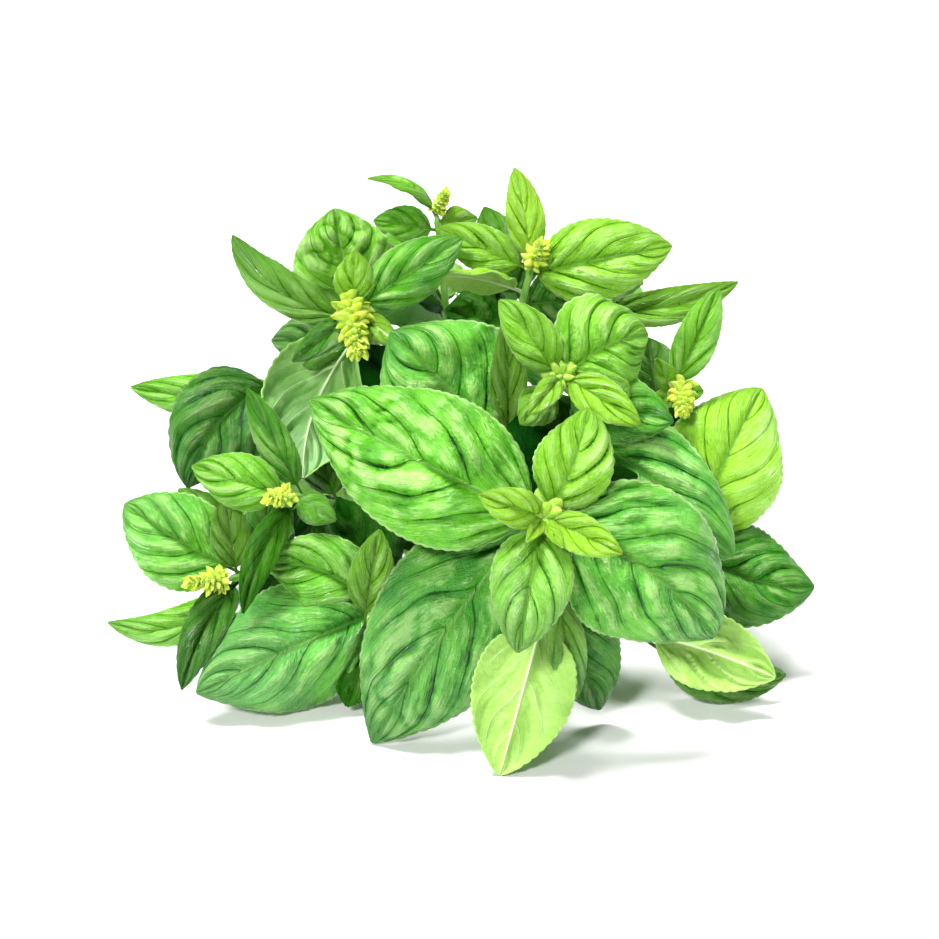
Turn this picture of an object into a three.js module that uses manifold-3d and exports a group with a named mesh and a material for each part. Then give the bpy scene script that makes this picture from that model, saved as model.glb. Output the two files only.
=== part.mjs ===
// A cut bunch of sweet basil, lying on a flat surface with its leafy heads fanned out towards
// -Y and its cut stems trailing away along +Y. Millimetres, +Z up.
//
// The bunch is a loose pile of leafy stems. Each stem is one grown piece: a square stalk with
// its leaves, down to the smallest at its tip. Some tips have begun to flower and carry a
// yellow-green head of buds, which is a node of its own.

import * as THREE from "three";
import Module from "manifold-3d";

const wasm = await Module();
wasm.setup();

// ---------------------------------------------------------------- where things are

// Places in the bunch are given as [across, up, back] in millimetres, as met by someone who
// looks at the heads from in front and a little above. "back" runs along the line of sight,
// so a leaf can be moved back or forward to clear its neighbours and still show in its place.
const SIGHT_TILT = THREE.MathUtils.degToRad(22);
const SIGHT_RANGE = 870;
const SIGHT_MIDDLE = new THREE.Vector3(0, 0, 65);
const ACROSS = new THREE.Vector3(1, 0, 0);
const UP = new THREE.Vector3(0, Math.sin(SIGHT_TILT), Math.cos(SIGHT_TILT));
const BACK = new THREE.Vector3(0, Math.cos(SIGHT_TILT), -Math.sin(SIGHT_TILT));
const EYE = SIGHT_MIDDLE.clone().addScaledVector(BACK, -SIGHT_RANGE);

// The middle of the bunch's footprint, which becomes the origin.
const FOOTPRINT_MIDDLE = new THREE.Vector3(-2, 26.5, 0);

// ---------------------------------------------------------------- sizes

const STALK_AT_CUT = 4.6; // across the flats of the square stalk
const STALK_AT_TIP = 2.2;
const STALK_STRAIGHT = 28; // the cut end lies straight for this long
const STALK_STEPS = 7;
const STALK_SWING = 0.36; // how far a stalk's curve keeps to its first and last directions
const PETIOLE = 1.7; // thickness of the bare stalk of a leaf
const PETIOLE_SHARE = 0.14; // its length as a share of the leaf's
const PETIOLE_MOST = 9; // but no longer than this, unless the leaf says so
const BLADE = 0.7; // thickness of a leaf's blade
const LEAF_TIP = 0.7; // width that a blade still has at its very tip
const SHOULDER = 0.55; // how steeply a blade widens from its base
const POINT = 0.8; // and how steeply it narrows to its tip
const CURL = -24; // how many degrees each half bends down from midrib to margin
const SWELL = 0.16; // how far each half of a blade swells up, as a share of the half's width
const WAVE = 0.035; // how far a margin waves up and down, as a share of the leaf's width
const WAVES = 2.5; // waves along one margin
const LARGE = 27; // leaves wider than this are made of more faces
const BUD_GAP = 0.4; // clearance between a head of buds and the tip of its stalk
const BRACTS_AROUND = 8;
const BRACT_RISE = 0.12; // how far a bract's point stands above its ring, as a share of the head
const BRACT_HOLLOW = 0.5; // girth between bracts as a share of the girth at their points

// ---------------------------------------------------------------- the leafy stems

// cut: where the stem is cut, [x, y, z]. head: where it ends, [across, up, back].
// leaves: t is where one grows on its stem (0 at the cut, 1 at the tip), tip its tip, wide its
// width; arch is how far its midrib bows towards its upper face, and hook how much more near
// the tip; fold is the angle at which its halves rise from the midrib; roll turns it about its
// midrib, from facing the viewer; bow bends it sideways; petiole is the length of its bare stalk.
// buds: the height and width of the head of buds, if the stem has one.
const SPRIGS = {
  front: {
    cut: [3, 143, 2.3], head: [25, -16, -72],
    leaves: [
      { t: 0.975, tip: [-53, 23, -60], wide: 49, arch: 8, bow: -1.5, fold: -4, petiole: 4 },
      { t: 0.985, tip: [39.5, 20.5, -70], wide: 25, arch: 3, bow: 2.5, fold: 8 },
      { t: 0.96, tip: [81.5, -56, -54], wide: 51, arch: 9, hook: 4, bow: -5.5, petiole: 6 },
      { t: 0.985, tip: [16, -61, -84], wide: 26, arch: 4, fold: 22 },
      { t: 1, tip: [51, -28, -84], wide: 13, arch: 2, fold: 30 },
      { t: 1, tip: [3, -8.5, -84], wide: 13, arch: 2, fold: 30 },
      { t: 1, tip: [31, -26, -84], wide: 5, fold: 30 },
      { t: 1, tip: [19, -24, -84], wide: 5, fold: 30 },
      { t: 0.9, tip: [-32.5, -91, -43], wide: 52, arch: 9, bow: 1.6, fold: -4, petiole: 5 },
      { t: 0.82, tip: [-20, -8, -10], wide: 27, arch: 5, roll: 40 },
      { t: 0.82, tip: [56, -2, -38], wide: 26, arch: 5, roll: -40 },
      { t: 0.7, tip: [-8, -47, -6], wide: 27, arch: 5 },
      { t: 0.86, tip: [20, 21, -26], wide: 22, arch: 3 },
    ],
  },
  front_low: {
    cut: [9, 141, 2.3], head: [29, -38, -58],
    leaves: [
      { t: 0.97, tip: [10, -102, -62], wide: 33, arch: -5, roll: 180, petiole: 16 },
      { t: 1, tip: [35, -77, -52], wide: 13, arch: 3, fold: 30 },
      { t: 0.97, tip: [43.5, -80, -31], wide: 28, arch: 5 },
      { t: 0.8, tip: [-8, -62, -18], wide: 26, arch: 5 },
      { t: 0.8, tip: [48, -38, -16], wide: 26, arch: 5 },
    ],
  },
  centre: {
    cut: [6, 149, 7.6], head: [31, 31.5, -40],
    leaves: [
      { t: 0.98, tip: [10, 56.5, -42], wide: 16, arch: 3, bow: 1, fold: 20 },
      { t: 0.97, tip: [59.5, 45, -28], wide: 38, arch: 6, bow: -3 },
      { t: 1, tip: [57, 15, -52], wide: 14, arch: 2, fold: 25 },
      { t: 1, tip: [19.5, 18, -52], wide: 9, arch: 1, fold: 35 },
      { t: 0.95, tip: [17, 15, -44], wide: 14, arch: 2 },
      { t: 0.93, tip: [68, 16, -38], wide: 24, arch: -3, fold: 20 },
      { t: 0.86, tip: [88, -29, -32], wide: 36, arch: 7, bow: -4 },
      { t: 0.72, tip: [12, 26, 20], wide: 25, arch: 5, roll: 50 },
      { t: 0.95, tip: [35, 5, -14], wide: 18, arch: 2 },
    ],
  },
  upper_left: {
    cut: [-9.5, 146, 12.9], head: [-40, 55, -12], buds: { tip: [-37, 38.5, -27], wide: 15 },
    leaves: [
      { t: 0.96, tip: [-79, 78, -6], wide: 16, arch: 3, bow: -8.5, fold: 30, roll: 20 },
      { t: 0.982, tip: [-38, 73, -18], wide: 14, arch: 2 },
      { t: 0.982, tip: [-2.5, 77, -16], wide: 20, arch: 2, fold: 8 },
      { t: 0.97, tip: [-59, 36, -17], wide: 10, arch: 2, fold: 25 },
      { t: 0.982, tip: [-23.5, 41.5, -17], wide: 9, arch: 1 },
      { t: 0.93, tip: [-55.5, -3, -16], wide: 39, arch: 6, bow: -5.5, roll: 180, petiole: 5 },
      { t: 0.9, tip: [-66, 43, 4], wide: 20, arch: 2, fold: 10 },
      { t: 0.78, tip: [-50, 25, 20], wide: 27, arch: 5, roll: 20 },
      { t: 0.78, tip: [-12, 30, 18], wide: 26, arch: 5, roll: -60 },
      { t: 0.92, tip: [-60, 58, 2], wide: 16, arch: 2 },
    ],
  },
  top: {
    cut: [3, 152, 18.2], head: [21, 69, 0], buds: { tip: [25, 76, -9], wide: 10 },
    leaves: [
      { t: 0.982, tip: [15, 100.5, -2], wide: 13, arch: 2, bow: 1, fold: 8 },
      { t: 0.97, tip: [67.5, 74.5, 2], wide: 28, arch: 3, bow: -0.4, fold: 12, petiole: 3 },
      { t: 0.982, tip: [-11, 80.5, -4], wide: 16, arch: 2 },
      { t: 0.93, tip: [-11, 64.5, -12], wide: 20, arch: 2, roll: 108 },
      { t: 0.9, tip: [5, 87.5, 12], wide: 20, arch: 2 },
      { t: 0.9, tip: [34, 56, 8], wide: 22, arch: 2 },
      { t: 0.85, tip: [-8, 53, 14], wide: 25, arch: 3 },
      { t: 0.76, tip: [42, 58, 24], wide: 27, arch: 5, roll: -80 },
    ],
  },
  top_left: {
    cut: [-3, 148, 18.4], head: [-11, 86, 16], buds: { tip: [-7.5, 93, 10], wide: 7.5 },
    leaves: [
      { t: 0.982, tip: [-34, 97, 12], wide: 9, arch: 6, roll: 55 },
      { t: 0.96, tip: [-32, 83, 14], wide: 14, arch: 2 },
      { t: 0.982, tip: [2.5, 84, 13], wide: 11, arch: 2, bow: 1 },
      { t: 0.88, tip: [-40, 70.5, 9], wide: 22, arch: 4 },
      { t: 0.76, tip: [-34, 60, 28], wide: 26, arch: 5, roll: 80 },
    ],
  },
  right: {
    cut: [9.8, 144, 13.1], head: [71, 27.5, -8], buds: { tip: [71, 18.5, -20], wide: 11 },
    leaves: [
      { t: 0.97, tip: [83, 60.5, -10], wide: 14.5, arch: 2, bow: 0, fold: 25 },
      { t: 0.975, tip: [62, 37, -14], wide: 8, arch: 1, fold: 20 },
      { t: 0.98, tip: [78, 26, -8], wide: 8, arch: 1, fold: 20 },
      { t: 0.97, tip: [61, 21, -6], wide: 7, arch: 1, fold: 20 },
      { t: 0.93, tip: [59, 44, 6], wide: 20, arch: 2 },
      { t: 0.82, tip: [84, 12, 16], wide: 26, arch: 5, roll: -60 },
    ],
  },
  left: {
    cut: [-6, 145, 7.6], head: [-60.5, -9, -28], buds: { tip: [-68, -10, -37], wide: 8.5 },
    leaves: [
      { t: 0.982, tip: [-92.5, 1, -26], wide: 19, arch: 3 },
      { t: 0.95, tip: [-74, 27, -22], wide: 13, arch: 2, fold: 38 },
      { t: 0.982, tip: [-44.5, -17, -32], wide: 11, arch: 2 },
      { t: 0.96, tip: [-75.5, -48, -36], wide: 13, arch: 3, bow: 3, fold: 42 },
      { t: 0.84, tip: [-52.5, 15, 4], wide: 17, arch: 3 },
      { t: 0.72, tip: [-64, -22, 14], wide: 26, arch: 5, roll: 60 },
    ],
  },
  lower_left: {
    cut: [-15, 142, 2.3], head: [-81.5, -37, -22], buds: { tip: [-95, -38, -33.5], wide: 10 },
    leaves: [
      { t: 0.97, tip: [-81, -9, -18], wide: 14, arch: 2, fold: 30 },
      { t: 0.95, tip: [-115, -11.5, -10], wide: 32, arch: 3, bow: -1, fold: 15 },
      { t: 0.9, tip: [-97, -6.5, 2], wide: 18, arch: 3 },
      { t: 0.97, tip: [-120.5, -51, -18], wide: 13, arch: 2, bow: -8.5 },
      { t: 0.95, tip: [-96, -73.5, -33], wide: 16, arch: 3, bow: 3, fold: 42 },
      { t: 0.9, tip: [-67, -9, -8], wide: 19, arch: 2, fold: 10 },
      { t: 0.8, tip: [-72, -46, 12], wide: 26, arch: 5, roll: 30 },
    ],
  },
  low_left: {
    cut: [-9, 146, 2.3], head: [-35, -51, -30],
    leaves: [
      { t: 0.95, tip: [-91, -74.5, -34], wide: 48, arch: 6, bow: 0.5, fold: -18, petiole: 2 },
      { t: 0.95, tip: [-68.5, -32, -26], wide: 26, arch: 2, bow: 6, fold: 25 },
      { t: 1, tip: [-30, -20, -38], wide: 15, arch: 2, fold: 20 },
      { t: 0.86, tip: [-52, -18, -8], wide: 24, arch: 3 },
      { t: 0.9, tip: [-41, -79, -26], wide: 24, arch: 3 },
      { t: 0.78, tip: [-58, -36, 4], wide: 26, arch: 5, roll: 30 },
      { t: 0.86, tip: [-44, -10, -16], wide: 26, arch: 4 },
    ],
  },
  left_back: {
    cut: [-12, 143, 7.6], head: [-67, 30.5, 2],
    leaves: [
      { t: 0.96, tip: [-94, -6, -8], wide: 35, arch: 8, bow: 6.5, petiole: 5 },
      { t: 0.92, tip: [-113, 27.5, 10], wide: 17, arch: 2, bow: -2, fold: 10, petiole: 3 },
    ],
  },
  right_low: {
    cut: [12, 147, 7.6], head: [78, -23, -10],
    leaves: [
      { t: 0.97, tip: [97.5, 27, 2], wide: 43, arch: 6, hook: 4, bow: -1.5, petiole: 1 },
      { t: 0.93, tip: [115, -39, -6], wide: 35, arch: 4, bow: 5 },
      { t: 0.78, tip: [58, -2, 22], wide: 27, arch: 5, roll: -60 },
    ],
  },
  right_floor: {
    cut: [15, 145, 2.3], head: [57, -55, -24],
    leaves: [
      { t: 0.97, tip: [105.5, -68.5, -16], wide: 20, arch: 3, bow: 6, petiole: 14 },
      { t: 0.99, tip: [102, -69.5, -31], wide: 26, arch: -3, bow: 1.5, roll: 180 },
    ],
  },
  centre_back: {
    cut: [-3, 148, 2.3], head: [13.5, 10, -20],
    leaves: [
      { t: 0.95, tip: [-26, 46, -29], wide: 54, arch: 8 },
      { t: 0.98, tip: [13, 53, -37], wide: 13, arch: 3, fold: 30 },
      { t: 0.8, tip: [-37, 41, -14], wide: 32, arch: 4 },
      { t: 0.7, tip: [-28, -24, 4], wide: 27, arch: 4 },
    ],
  },
  top_left_back: {
    cut: [-3, 150, 13.3], head: [-40, 58, 7],
    leaves: [
      { t: 0.97, tip: [-45, 87, -2], wide: 35, arch: 4, bow: -0.5, fold: 10 },
    ],
  },
  right_back: {
    cut: [3, 148, 12.9], head: [50, 59.5, 20],
    leaves: [
      { t: 0.95, tip: [89.5, 62.5, 16], wide: 13, arch: 2, bow: 3.3, fold: 15, petiole: 1 },
      { t: 0.95, tip: [48, 72, 50], wide: 24, arch: 5, roll: 180 },
      { t: 0.8, tip: [73, 14, 42], wide: 22, arch: 5, roll: -120 },
      { t: 1, tip: [58, 62, 36], wide: 12, arch: 2, fold: 20, roll: -140 },
      { t: 0.8, tip: [56, 20, 60], wide: 28, arch: 7, roll: -110 },
    ],
  },
  back_top: {
    cut: [0, 149, 23.5], head: [-4, 58, 50],
    leaves: [
      { t: 0.93, tip: [-38, 56, 62], wide: 30, arch: 6, roll: 130 },
      { t: 0.93, tip: [24, 68, 66], wide: 28, arch: 6, roll: -130 },
      { t: 1, tip: [-12, 72, 74], wide: 15, arch: 3, fold: 20, roll: 180 },
      { t: 1, tip: [8, 48, 78], wide: 14, arch: 3, fold: 20 },
      { t: 0.8, tip: [-26, 24, 92], wide: 38, arch: 8, roll: 60 },
      { t: 0.8, tip: [30, 30, 96], wide: 36, arch: 8, roll: -60 },
    ],
  },
  back_left: {
    cut: [-18, 144, 7.6], head: [-60, 4, 48],
    leaves: [
      { t: 0.95, tip: [-90, 12, 56], wide: 32, arch: 6, roll: 120 },
      { t: 0.97, tip: [-58, 38, 62], wide: 26, arch: 5, roll: 160 },
      { t: 1, tip: [-78, -8, 68], wide: 16, arch: 3, fold: 20, roll: 150 },
      { t: 0.85, tip: [-88, -26, 52], wide: 38, arch: 7, roll: 90 },
      { t: 0.75, tip: [-62, -20, 96], wide: 34, arch: 7, roll: 150 },
    ],
  },
  back_right: {
    cut: [18, 146, 7.6], head: [62, 0, 46],
    leaves: [
      { t: 0.93, tip: [93, 10, 48], wide: 32, arch: 6, roll: -120 },
      { t: 0.98, tip: [58, 30, 78], wide: 24, arch: 5, roll: -160 },
      { t: 1, tip: [86, -6, 66], wide: 15, arch: 3, fold: 20, roll: -150 },
      { t: 0.85, tip: [90, -34, 44], wide: 38, arch: 7, roll: -90 },
      { t: 0.75, tip: [58, -24, 96], wide: 34, arch: 7, roll: -150 },
    ],
  },
};

// ---------------------------------------------------------------- curves

function place([across, up, back]) {
  const onMiddlePlane = SIGHT_MIDDLE.clone().addScaledVector(ACROSS, across).addScaledVector(UP, up);
  return onMiddlePlane.sub(EYE).multiplyScalar(1 + back / SIGHT_RANGE).add(EYE);
}

const GROWING = new THREE.Vector3(0, -1, 0); // from the cut ends towards the heads
const FAN_CENTRE = new THREE.Vector3(0, 70, 20); // the heads point away from here

// The stalk runs straight from its cut end, then swings out to its head.
function stalkCurve({ cut, head }) {
  const start = new THREE.Vector3(...cut);
  const bend = start.clone().addScaledVector(GROWING, STALK_STRAIGHT);
  const end = place(head);
  const reach = bend.distanceTo(end);
  const outwards = end.clone().sub(FAN_CENTRE).normalize();
  const curve = new THREE.CurvePath();
  curve.add(new THREE.LineCurve3(start, bend));
  curve.add(new THREE.CubicBezierCurve3(
    bend,
    bend.clone().addScaledVector(GROWING, reach * STALK_SWING),
    end.clone().addScaledVector(outwards, -reach * STALK_SWING),
    end,
  ));
  return curve;
}

const turned = (v, axis, degrees) => v.clone().applyAxisAngle(axis, THREE.MathUtils.degToRad(degrees));
const square = (v, axis) => v.clone().addScaledVector(axis, -v.dot(axis)).normalize();

// Half width of a blade as a share of its greatest, at b from 0 at its base to 1 at its tip.
function outline(b) {
  const shape = (x) => Math.pow(x, SHOULDER) * Math.pow(1 - x, POINT);
  return b <= 0 || b >= 1 ? 0 : shape(b) / shape(SHOULDER / (SHOULDER + POINT));
}

// A leaf's middle surface. point(s, u) is its place at s along the midrib, bare stalk included,
// and u across it, from -1 at one margin to 1 at the other, with the normal of its upper face.
function leafSurface(stalk, leaf) {
  const { t, tip, wide, arch = 0, hook = 0, fold = 0, roll = 0, bow = 0 } = leaf;
  const start = stalk.getPoint(t);
  const end = place(tip);
  const chord = end.clone().sub(start);
  const reach = chord.length();
  chord.normalize();
  const face = turned(square(BACK.clone().negate(), chord), chord, roll);
  const sideways = new THREE.Vector3().crossVectors(chord, face);
  // A cubic's handles stand a third further out than the curve itself gets.
  const handle = (share, height) =>
    start.clone().addScaledVector(chord, reach * share)
      .addScaledVector(face, (height * 4) / 3).addScaledVector(sideways, (bow * 4) / 3);
  const midrib = new THREE.CubicBezierCurve3(start, handle(0.33, arch), handle(0.67, arch + hook), end);
  const petiole = leaf.petiole ?? Math.min(PETIOLE_MOST, reach * PETIOLE_SHARE);
  const collar = petiole / reach;

  const point = (s, u) => {
    const b = Math.max(0, (s - collar) / (1 - collar));
    const along = midrib.getTangent(s);
    const up = square(face, along);
    const out = new THREE.Vector3().crossVectors(along, up);
    const bladeHalf = (wide / 2) * outline(b);
    const halfWidth = Math.max(bladeHalf, (s <= collar ? PETIOLE : LEAF_TIP) / 2);
    const side = Math.sign(u);
    const across = Math.abs(u);
    const angle = THREE.MathUtils.degToRad(fold + (CURL * across) / 2);
    const swell = SWELL * bladeHalf * Math.sin(Math.PI * across);
    const wave = WAVE * wide * across * across * outline(b)
      * Math.sin(2 * Math.PI * WAVES * b + side + wide);
    const at = midrib.getPoint(s)
      .addScaledVector(out, side * across * halfWidth * Math.cos(angle))
      .addScaledVector(up, across * halfWidth * Math.sin(angle) + swell + wave);
    const normal = up.clone().multiplyScalar(Math.cos(angle)).addScaledVector(out, -side * Math.sin(angle));
    return { at, normal };
  };
  return { point, collar };
}

// ---------------------------------------------------------------- solids

function solid(corners, faces) {
  return new wasm.Manifold(new wasm.Mesh({
    numProp: 3,
    vertProperties: new Float32Array(corners.flatMap((p) => [p.x, p.y, p.z])),
    triVerts: new Uint32Array(faces.flat()),
  }));
}

const quad = (a, b, c, d) => [[a, b, c], [a, c, d]];

// A closed body through equal rings of points, with a fan of triangles on each end.
function loft(rings) {
  const n = rings[0].length;
  const faces = [];
  for (let i = 0; i + 1 < rings.length; i++) {
    for (let j = 0; j < n; j++) {
      const k = (j + 1) % n;
      faces.push(...quad(i * n + j, (i + 1) * n + j, (i + 1) * n + k, i * n + k));
    }
  }
  const last = (rings.length - 1) * n;
  for (let j = 1; j + 1 < n; j++) {
    faces.push([0, j, j + 1]);
    faces.push([last, last + j + 1, last + j]);
  }
  return solid(rings.flat(), faces);
}

// The stalk is square. It keeps its full girth along the straight run and tapers from there.
function squareStalk(curve) {
  const bend = STALK_STRAIGHT / curve.getLength();
  const stations = [0];
  for (let i = 0; i <= STALK_STEPS; i++) stations.push(THREE.MathUtils.lerp(bend, 1, i / STALK_STEPS));
  const turn = new THREE.Quaternion();
  const across = ACROSS.clone();
  let before = GROWING.clone();
  return loft(stations.map((t) => {
    const along = curve.getTangent(t);
    across.applyQuaternion(turn.setFromUnitVectors(before, along));
    before = along;
    const upright = new THREE.Vector3().crossVectors(along, across);
    const taper = Math.max(0, (t - bend) / (1 - bend));
    const half = THREE.MathUtils.lerp(STALK_AT_CUT, STALK_AT_TIP, taper) / 2;
    const corner = (a, b) =>
      curve.getPoint(t).addScaledVector(across, a * half).addScaledVector(upright, b * half);
    return [corner(-1, 1), corner(1, 1), corner(1, -1), corner(-1, -1)];
  }));
}

const LARGE_STATIONS = [0.05, 0.18, 0.36, 0.56, 0.76, 0.92, 1];
const SMALL_STATIONS = [0.07, 0.25, 0.5, 0.8, 1];
const LARGE_COLUMNS = [-1, -0.5, 0, 0.5, 1];
const SMALL_COLUMNS = [-1, 0, 1];

// A leaf as one thin closed body: its upper and its lower face are split into triangles alike.
function leafBody(stalk, leaf) {
  const { point, collar } = leafSurface(stalk, leaf);
  const large = leaf.wide > LARGE;
  const stations = (large ? LARGE_STATIONS : SMALL_STATIONS).map((b) => collar + b * (1 - collar));
  const columns = large ? LARGE_COLUMNS : SMALL_COLUMNS;
  const n = columns.length;
  const middle = (n - 1) / 2;
  const last = stations.length - 1;
  const corners = [];
  const corner = (s, u, side, thick) => {
    const { at, normal } = point(s, u);
    corners.push(at.addScaledVector(normal, (side * thick) / 2));
  };
  for (const s of stations) {
    columns.forEach((u) => corner(s, u, 1, BLADE));
    columns.forEach((u) => corner(s, u, -1, BLADE));
  }
  const upper = (i, j) => i * 2 * n + j;
  const lower = (i, j) => upper(i, j) + n;
  const [upperLeft, upperRight, lowerLeft, lowerRight] = [0, 1, 2, 3].map((k) => corners.length + k);
  for (const side of [1, -1]) {
    corner(0, -1, side, PETIOLE);
    corner(0, 1, side, PETIOLE);
  }

  const faces = [];
  for (let i = 0; i < last; i++) {
    for (let j = 0; j + 1 < n; j++) {
      faces.push(...quad(upper(i, j), upper(i, j + 1), upper(i + 1, j + 1), upper(i + 1, j)));
      faces.push(...quad(lower(i, j), lower(i + 1, j), lower(i + 1, j + 1), lower(i, j + 1)));
    }
    faces.push(...quad(upper(i, 0), upper(i + 1, 0), lower(i + 1, 0), lower(i, 0)));
    faces.push(...quad(upper(i, n - 1), lower(i, n - 1), lower(i + 1, n - 1), upper(i + 1, n - 1)));
  }
  for (let j = 0; j + 1 < n; j++) {
    faces.push(...quad(upper(last, j), upper(last, j + 1), lower(last, j + 1), lower(last, j)));
    faces.push([j < middle ? upperLeft : upperRight, upper(0, j + 1), upper(0, j)]);
    faces.push([j < middle ? lowerLeft : lowerRight, lower(0, j), lower(0, j + 1)]);
  }
  faces.push([upperLeft, upperRight, upper(0, middle)]);
  faces.push([lowerRight, lowerLeft, lower(0, middle)]);
  faces.push(...quad(upperLeft, upper(0, 0), lower(0, 0), lowerLeft));
  faces.push(...quad(upperRight, lowerRight, lower(0, n - 1), upper(0, n - 1)));
  faces.push(...quad(upperLeft, lowerLeft, lowerRight, upperRight));
  return solid(corners, faces);
}

const BRACT_RINGS = [0.2, 0.36, 0.52, 0.68, 0.84];
const BUD_FOOT = 0.12; // girth of a head of buds at its foot, as a share of its greatest
const BUD_TOP = 0.1;

// A head of buds: rings of pointed bracts, each ring set between the bracts of the one below.
function budHead(stalk, { tip, wide }) {
  const root = stalk.getPoint(1);
  const axis = place(tip).sub(root);
  const tall = axis.length() - STALK_AT_TIP / 2 - BUD_GAP;
  axis.normalize();
  const foot = root.addScaledVector(axis, STALK_AT_TIP / 2 + BUD_GAP);
  const across = new THREE.Vector3().crossVectors(axis, ACROSS).normalize();
  const ring = (share, pointed, girth) =>
    Array.from({ length: BRACTS_AROUND }, (_, k) => {
      const bract = (k % 2 === 1) === pointed;
      const outwards = across.clone().applyAxisAngle(axis, (-2 * Math.PI * k) / BRACTS_AROUND);
      return foot.clone().addScaledVector(axis, tall * (share + (bract ? BRACT_RISE : 0)))
        .addScaledVector(outwards, (wide / 2) * girth * (bract ? 1 : BRACT_HOLLOW));
    });
  const fullness = (share) => Math.sin(Math.PI * THREE.MathUtils.lerp(0.25, 0.85, share));
  return loft([
    ring(0, false, BUD_FOOT),
    ...BRACT_RINGS.map((share, i) => ring(share, i % 2 === 0, fullness(share))),
    ring(1, false, BUD_TOP),
  ]);
}

// ---------------------------------------------------------------- the bunch

const LEAF_GREEN = new THREE.MeshStandardMaterial({ color: 0x4fa52a, roughness: 0.45, metalness: 0 });
const BUD_YELLOW = new THREE.MeshStandardMaterial({ color: 0xc3dc2e, roughness: 0.6, metalness: 0 });

function mesh(name, body, material) {
  const { numProp, vertProperties, triVerts } = body.getMesh();
  const corners = new Float32Array((vertProperties.length / numProp) * 3);
  for (let i = 0; i < corners.length / 3; i++) {
    corners.set(vertProperties.subarray(i * numProp, i * numProp + 3), i * 3);
  }
  const geometry = new THREE.BufferGeometry();
  geometry.setAttribute("position", new THREE.BufferAttribute(corners, 3));
  geometry.setIndex(new THREE.BufferAttribute(triVerts, 1));
  geometry.computeVertexNormals();
  const made = new THREE.Mesh(geometry, material);
  made.name = name;
  return made;
}

const group = new THREE.Group();
group.name = "basil_bunch";
group.position.copy(FOOTPRINT_MIDDLE).negate();
for (const [name, sprig] of Object.entries(SPRIGS)) {
  const stalk = stalkCurve(sprig);
  const leaves = sprig.leaves.map((leaf) => leafBody(stalk, leaf));
  const stem = leaves.reduce((joined, leaf) => joined.add(leaf), squareStalk(stalk));
  group.add(mesh(`stem_${name}`, stem, LEAF_GREEN));
  if (sprig.buds) group.add(mesh(`buds_${name}`, budHead(stalk, sprig.buds), BUD_YELLOW));
}

export default group;
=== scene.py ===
# %% [markdown]
# # A bunch of sweet basil
#
# A cut bunch of basil is a loose pile of leafy stems. The stems lie together at the cut end and
# fan out into rosettes of broad, quilted leaves; some stems have begun to flower and end in a
# little head of yellow-green buds.
#
# The rigid part gives every stem its place and every leaf its outline, as plain folded plates.
# This script keeps those places and remakes each stem with what the plates leave out: the curved
# and puffed-up blade, the toothed margin, the veins, the hollows where leaves crowd, and finishes
# that let light through. All sizes in the tables are millimetres; Blender gets metres.

import math
from types import SimpleNamespace

import bpy
import numpy as np
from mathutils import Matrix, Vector, noise


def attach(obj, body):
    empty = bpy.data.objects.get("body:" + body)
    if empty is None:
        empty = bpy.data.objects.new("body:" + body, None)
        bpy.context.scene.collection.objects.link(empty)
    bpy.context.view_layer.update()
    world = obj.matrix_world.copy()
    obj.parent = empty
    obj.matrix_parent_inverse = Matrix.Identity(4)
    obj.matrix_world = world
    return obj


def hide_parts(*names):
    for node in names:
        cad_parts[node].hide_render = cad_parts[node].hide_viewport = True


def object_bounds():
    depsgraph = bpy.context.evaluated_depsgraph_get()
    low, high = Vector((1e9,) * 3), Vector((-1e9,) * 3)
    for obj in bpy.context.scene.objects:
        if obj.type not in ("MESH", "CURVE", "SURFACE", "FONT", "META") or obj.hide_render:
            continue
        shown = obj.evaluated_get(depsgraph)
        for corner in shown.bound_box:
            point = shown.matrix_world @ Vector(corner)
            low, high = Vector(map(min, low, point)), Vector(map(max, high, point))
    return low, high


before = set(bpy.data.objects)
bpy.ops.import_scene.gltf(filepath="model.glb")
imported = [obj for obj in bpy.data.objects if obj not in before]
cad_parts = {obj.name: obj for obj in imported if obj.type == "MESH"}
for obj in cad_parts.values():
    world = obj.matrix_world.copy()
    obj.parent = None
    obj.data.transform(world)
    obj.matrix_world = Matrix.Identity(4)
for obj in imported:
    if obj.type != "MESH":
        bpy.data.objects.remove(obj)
cad_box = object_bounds()
MM, CM = 0.001, 10  # metres in a millimetre, millimetres in a centimetre
print("rigid part:", len(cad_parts), "nodes,",
      [round(v / MM) for v in cad_box[1] - cad_box[0]], "mm")

# %% [markdown]
# ## Where things are
#
# Places in the bunch are given as (across, up, back), as met by someone who looks at the heads
# from in front and a little above. "Back" runs along the line of sight, so a leaf can be moved
# back or forward to clear its neighbours and still show in the same place. One function turns
# such a place into the part's own x, y, z.

# %% The line of sight
SIGHT_TILT = math.radians(22)  # how steeply the viewer looks down
SIGHT_RANGE = 870  # from the viewer to the middle of the heads
FOOTPRINT_MIDDLE = np.array([-2, 26.5, 0])  # taken off every place, so that it is the origin
SIGHT_MIDDLE = np.array([0, 0, 65]) - FOOTPRINT_MIDDLE
ACROSS = np.array([1.0, 0, 0])
UP = np.array([0, math.sin(SIGHT_TILT), math.cos(SIGHT_TILT)])
BACK = np.array([0, math.cos(SIGHT_TILT), -math.sin(SIGHT_TILT)])
EYE = SIGHT_MIDDLE - BACK * SIGHT_RANGE


def place(spot):
    """The part's x, y, z for a spot given as (across, up, back)."""
    across, up, back = spot
    on_middle_plane = SIGHT_MIDDLE + ACROSS * across + UP * up
    return EYE + (on_middle_plane - EYE) * (1 + back / SIGHT_RANGE)


print("the eye is at", np.round(EYE), "mm")

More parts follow.
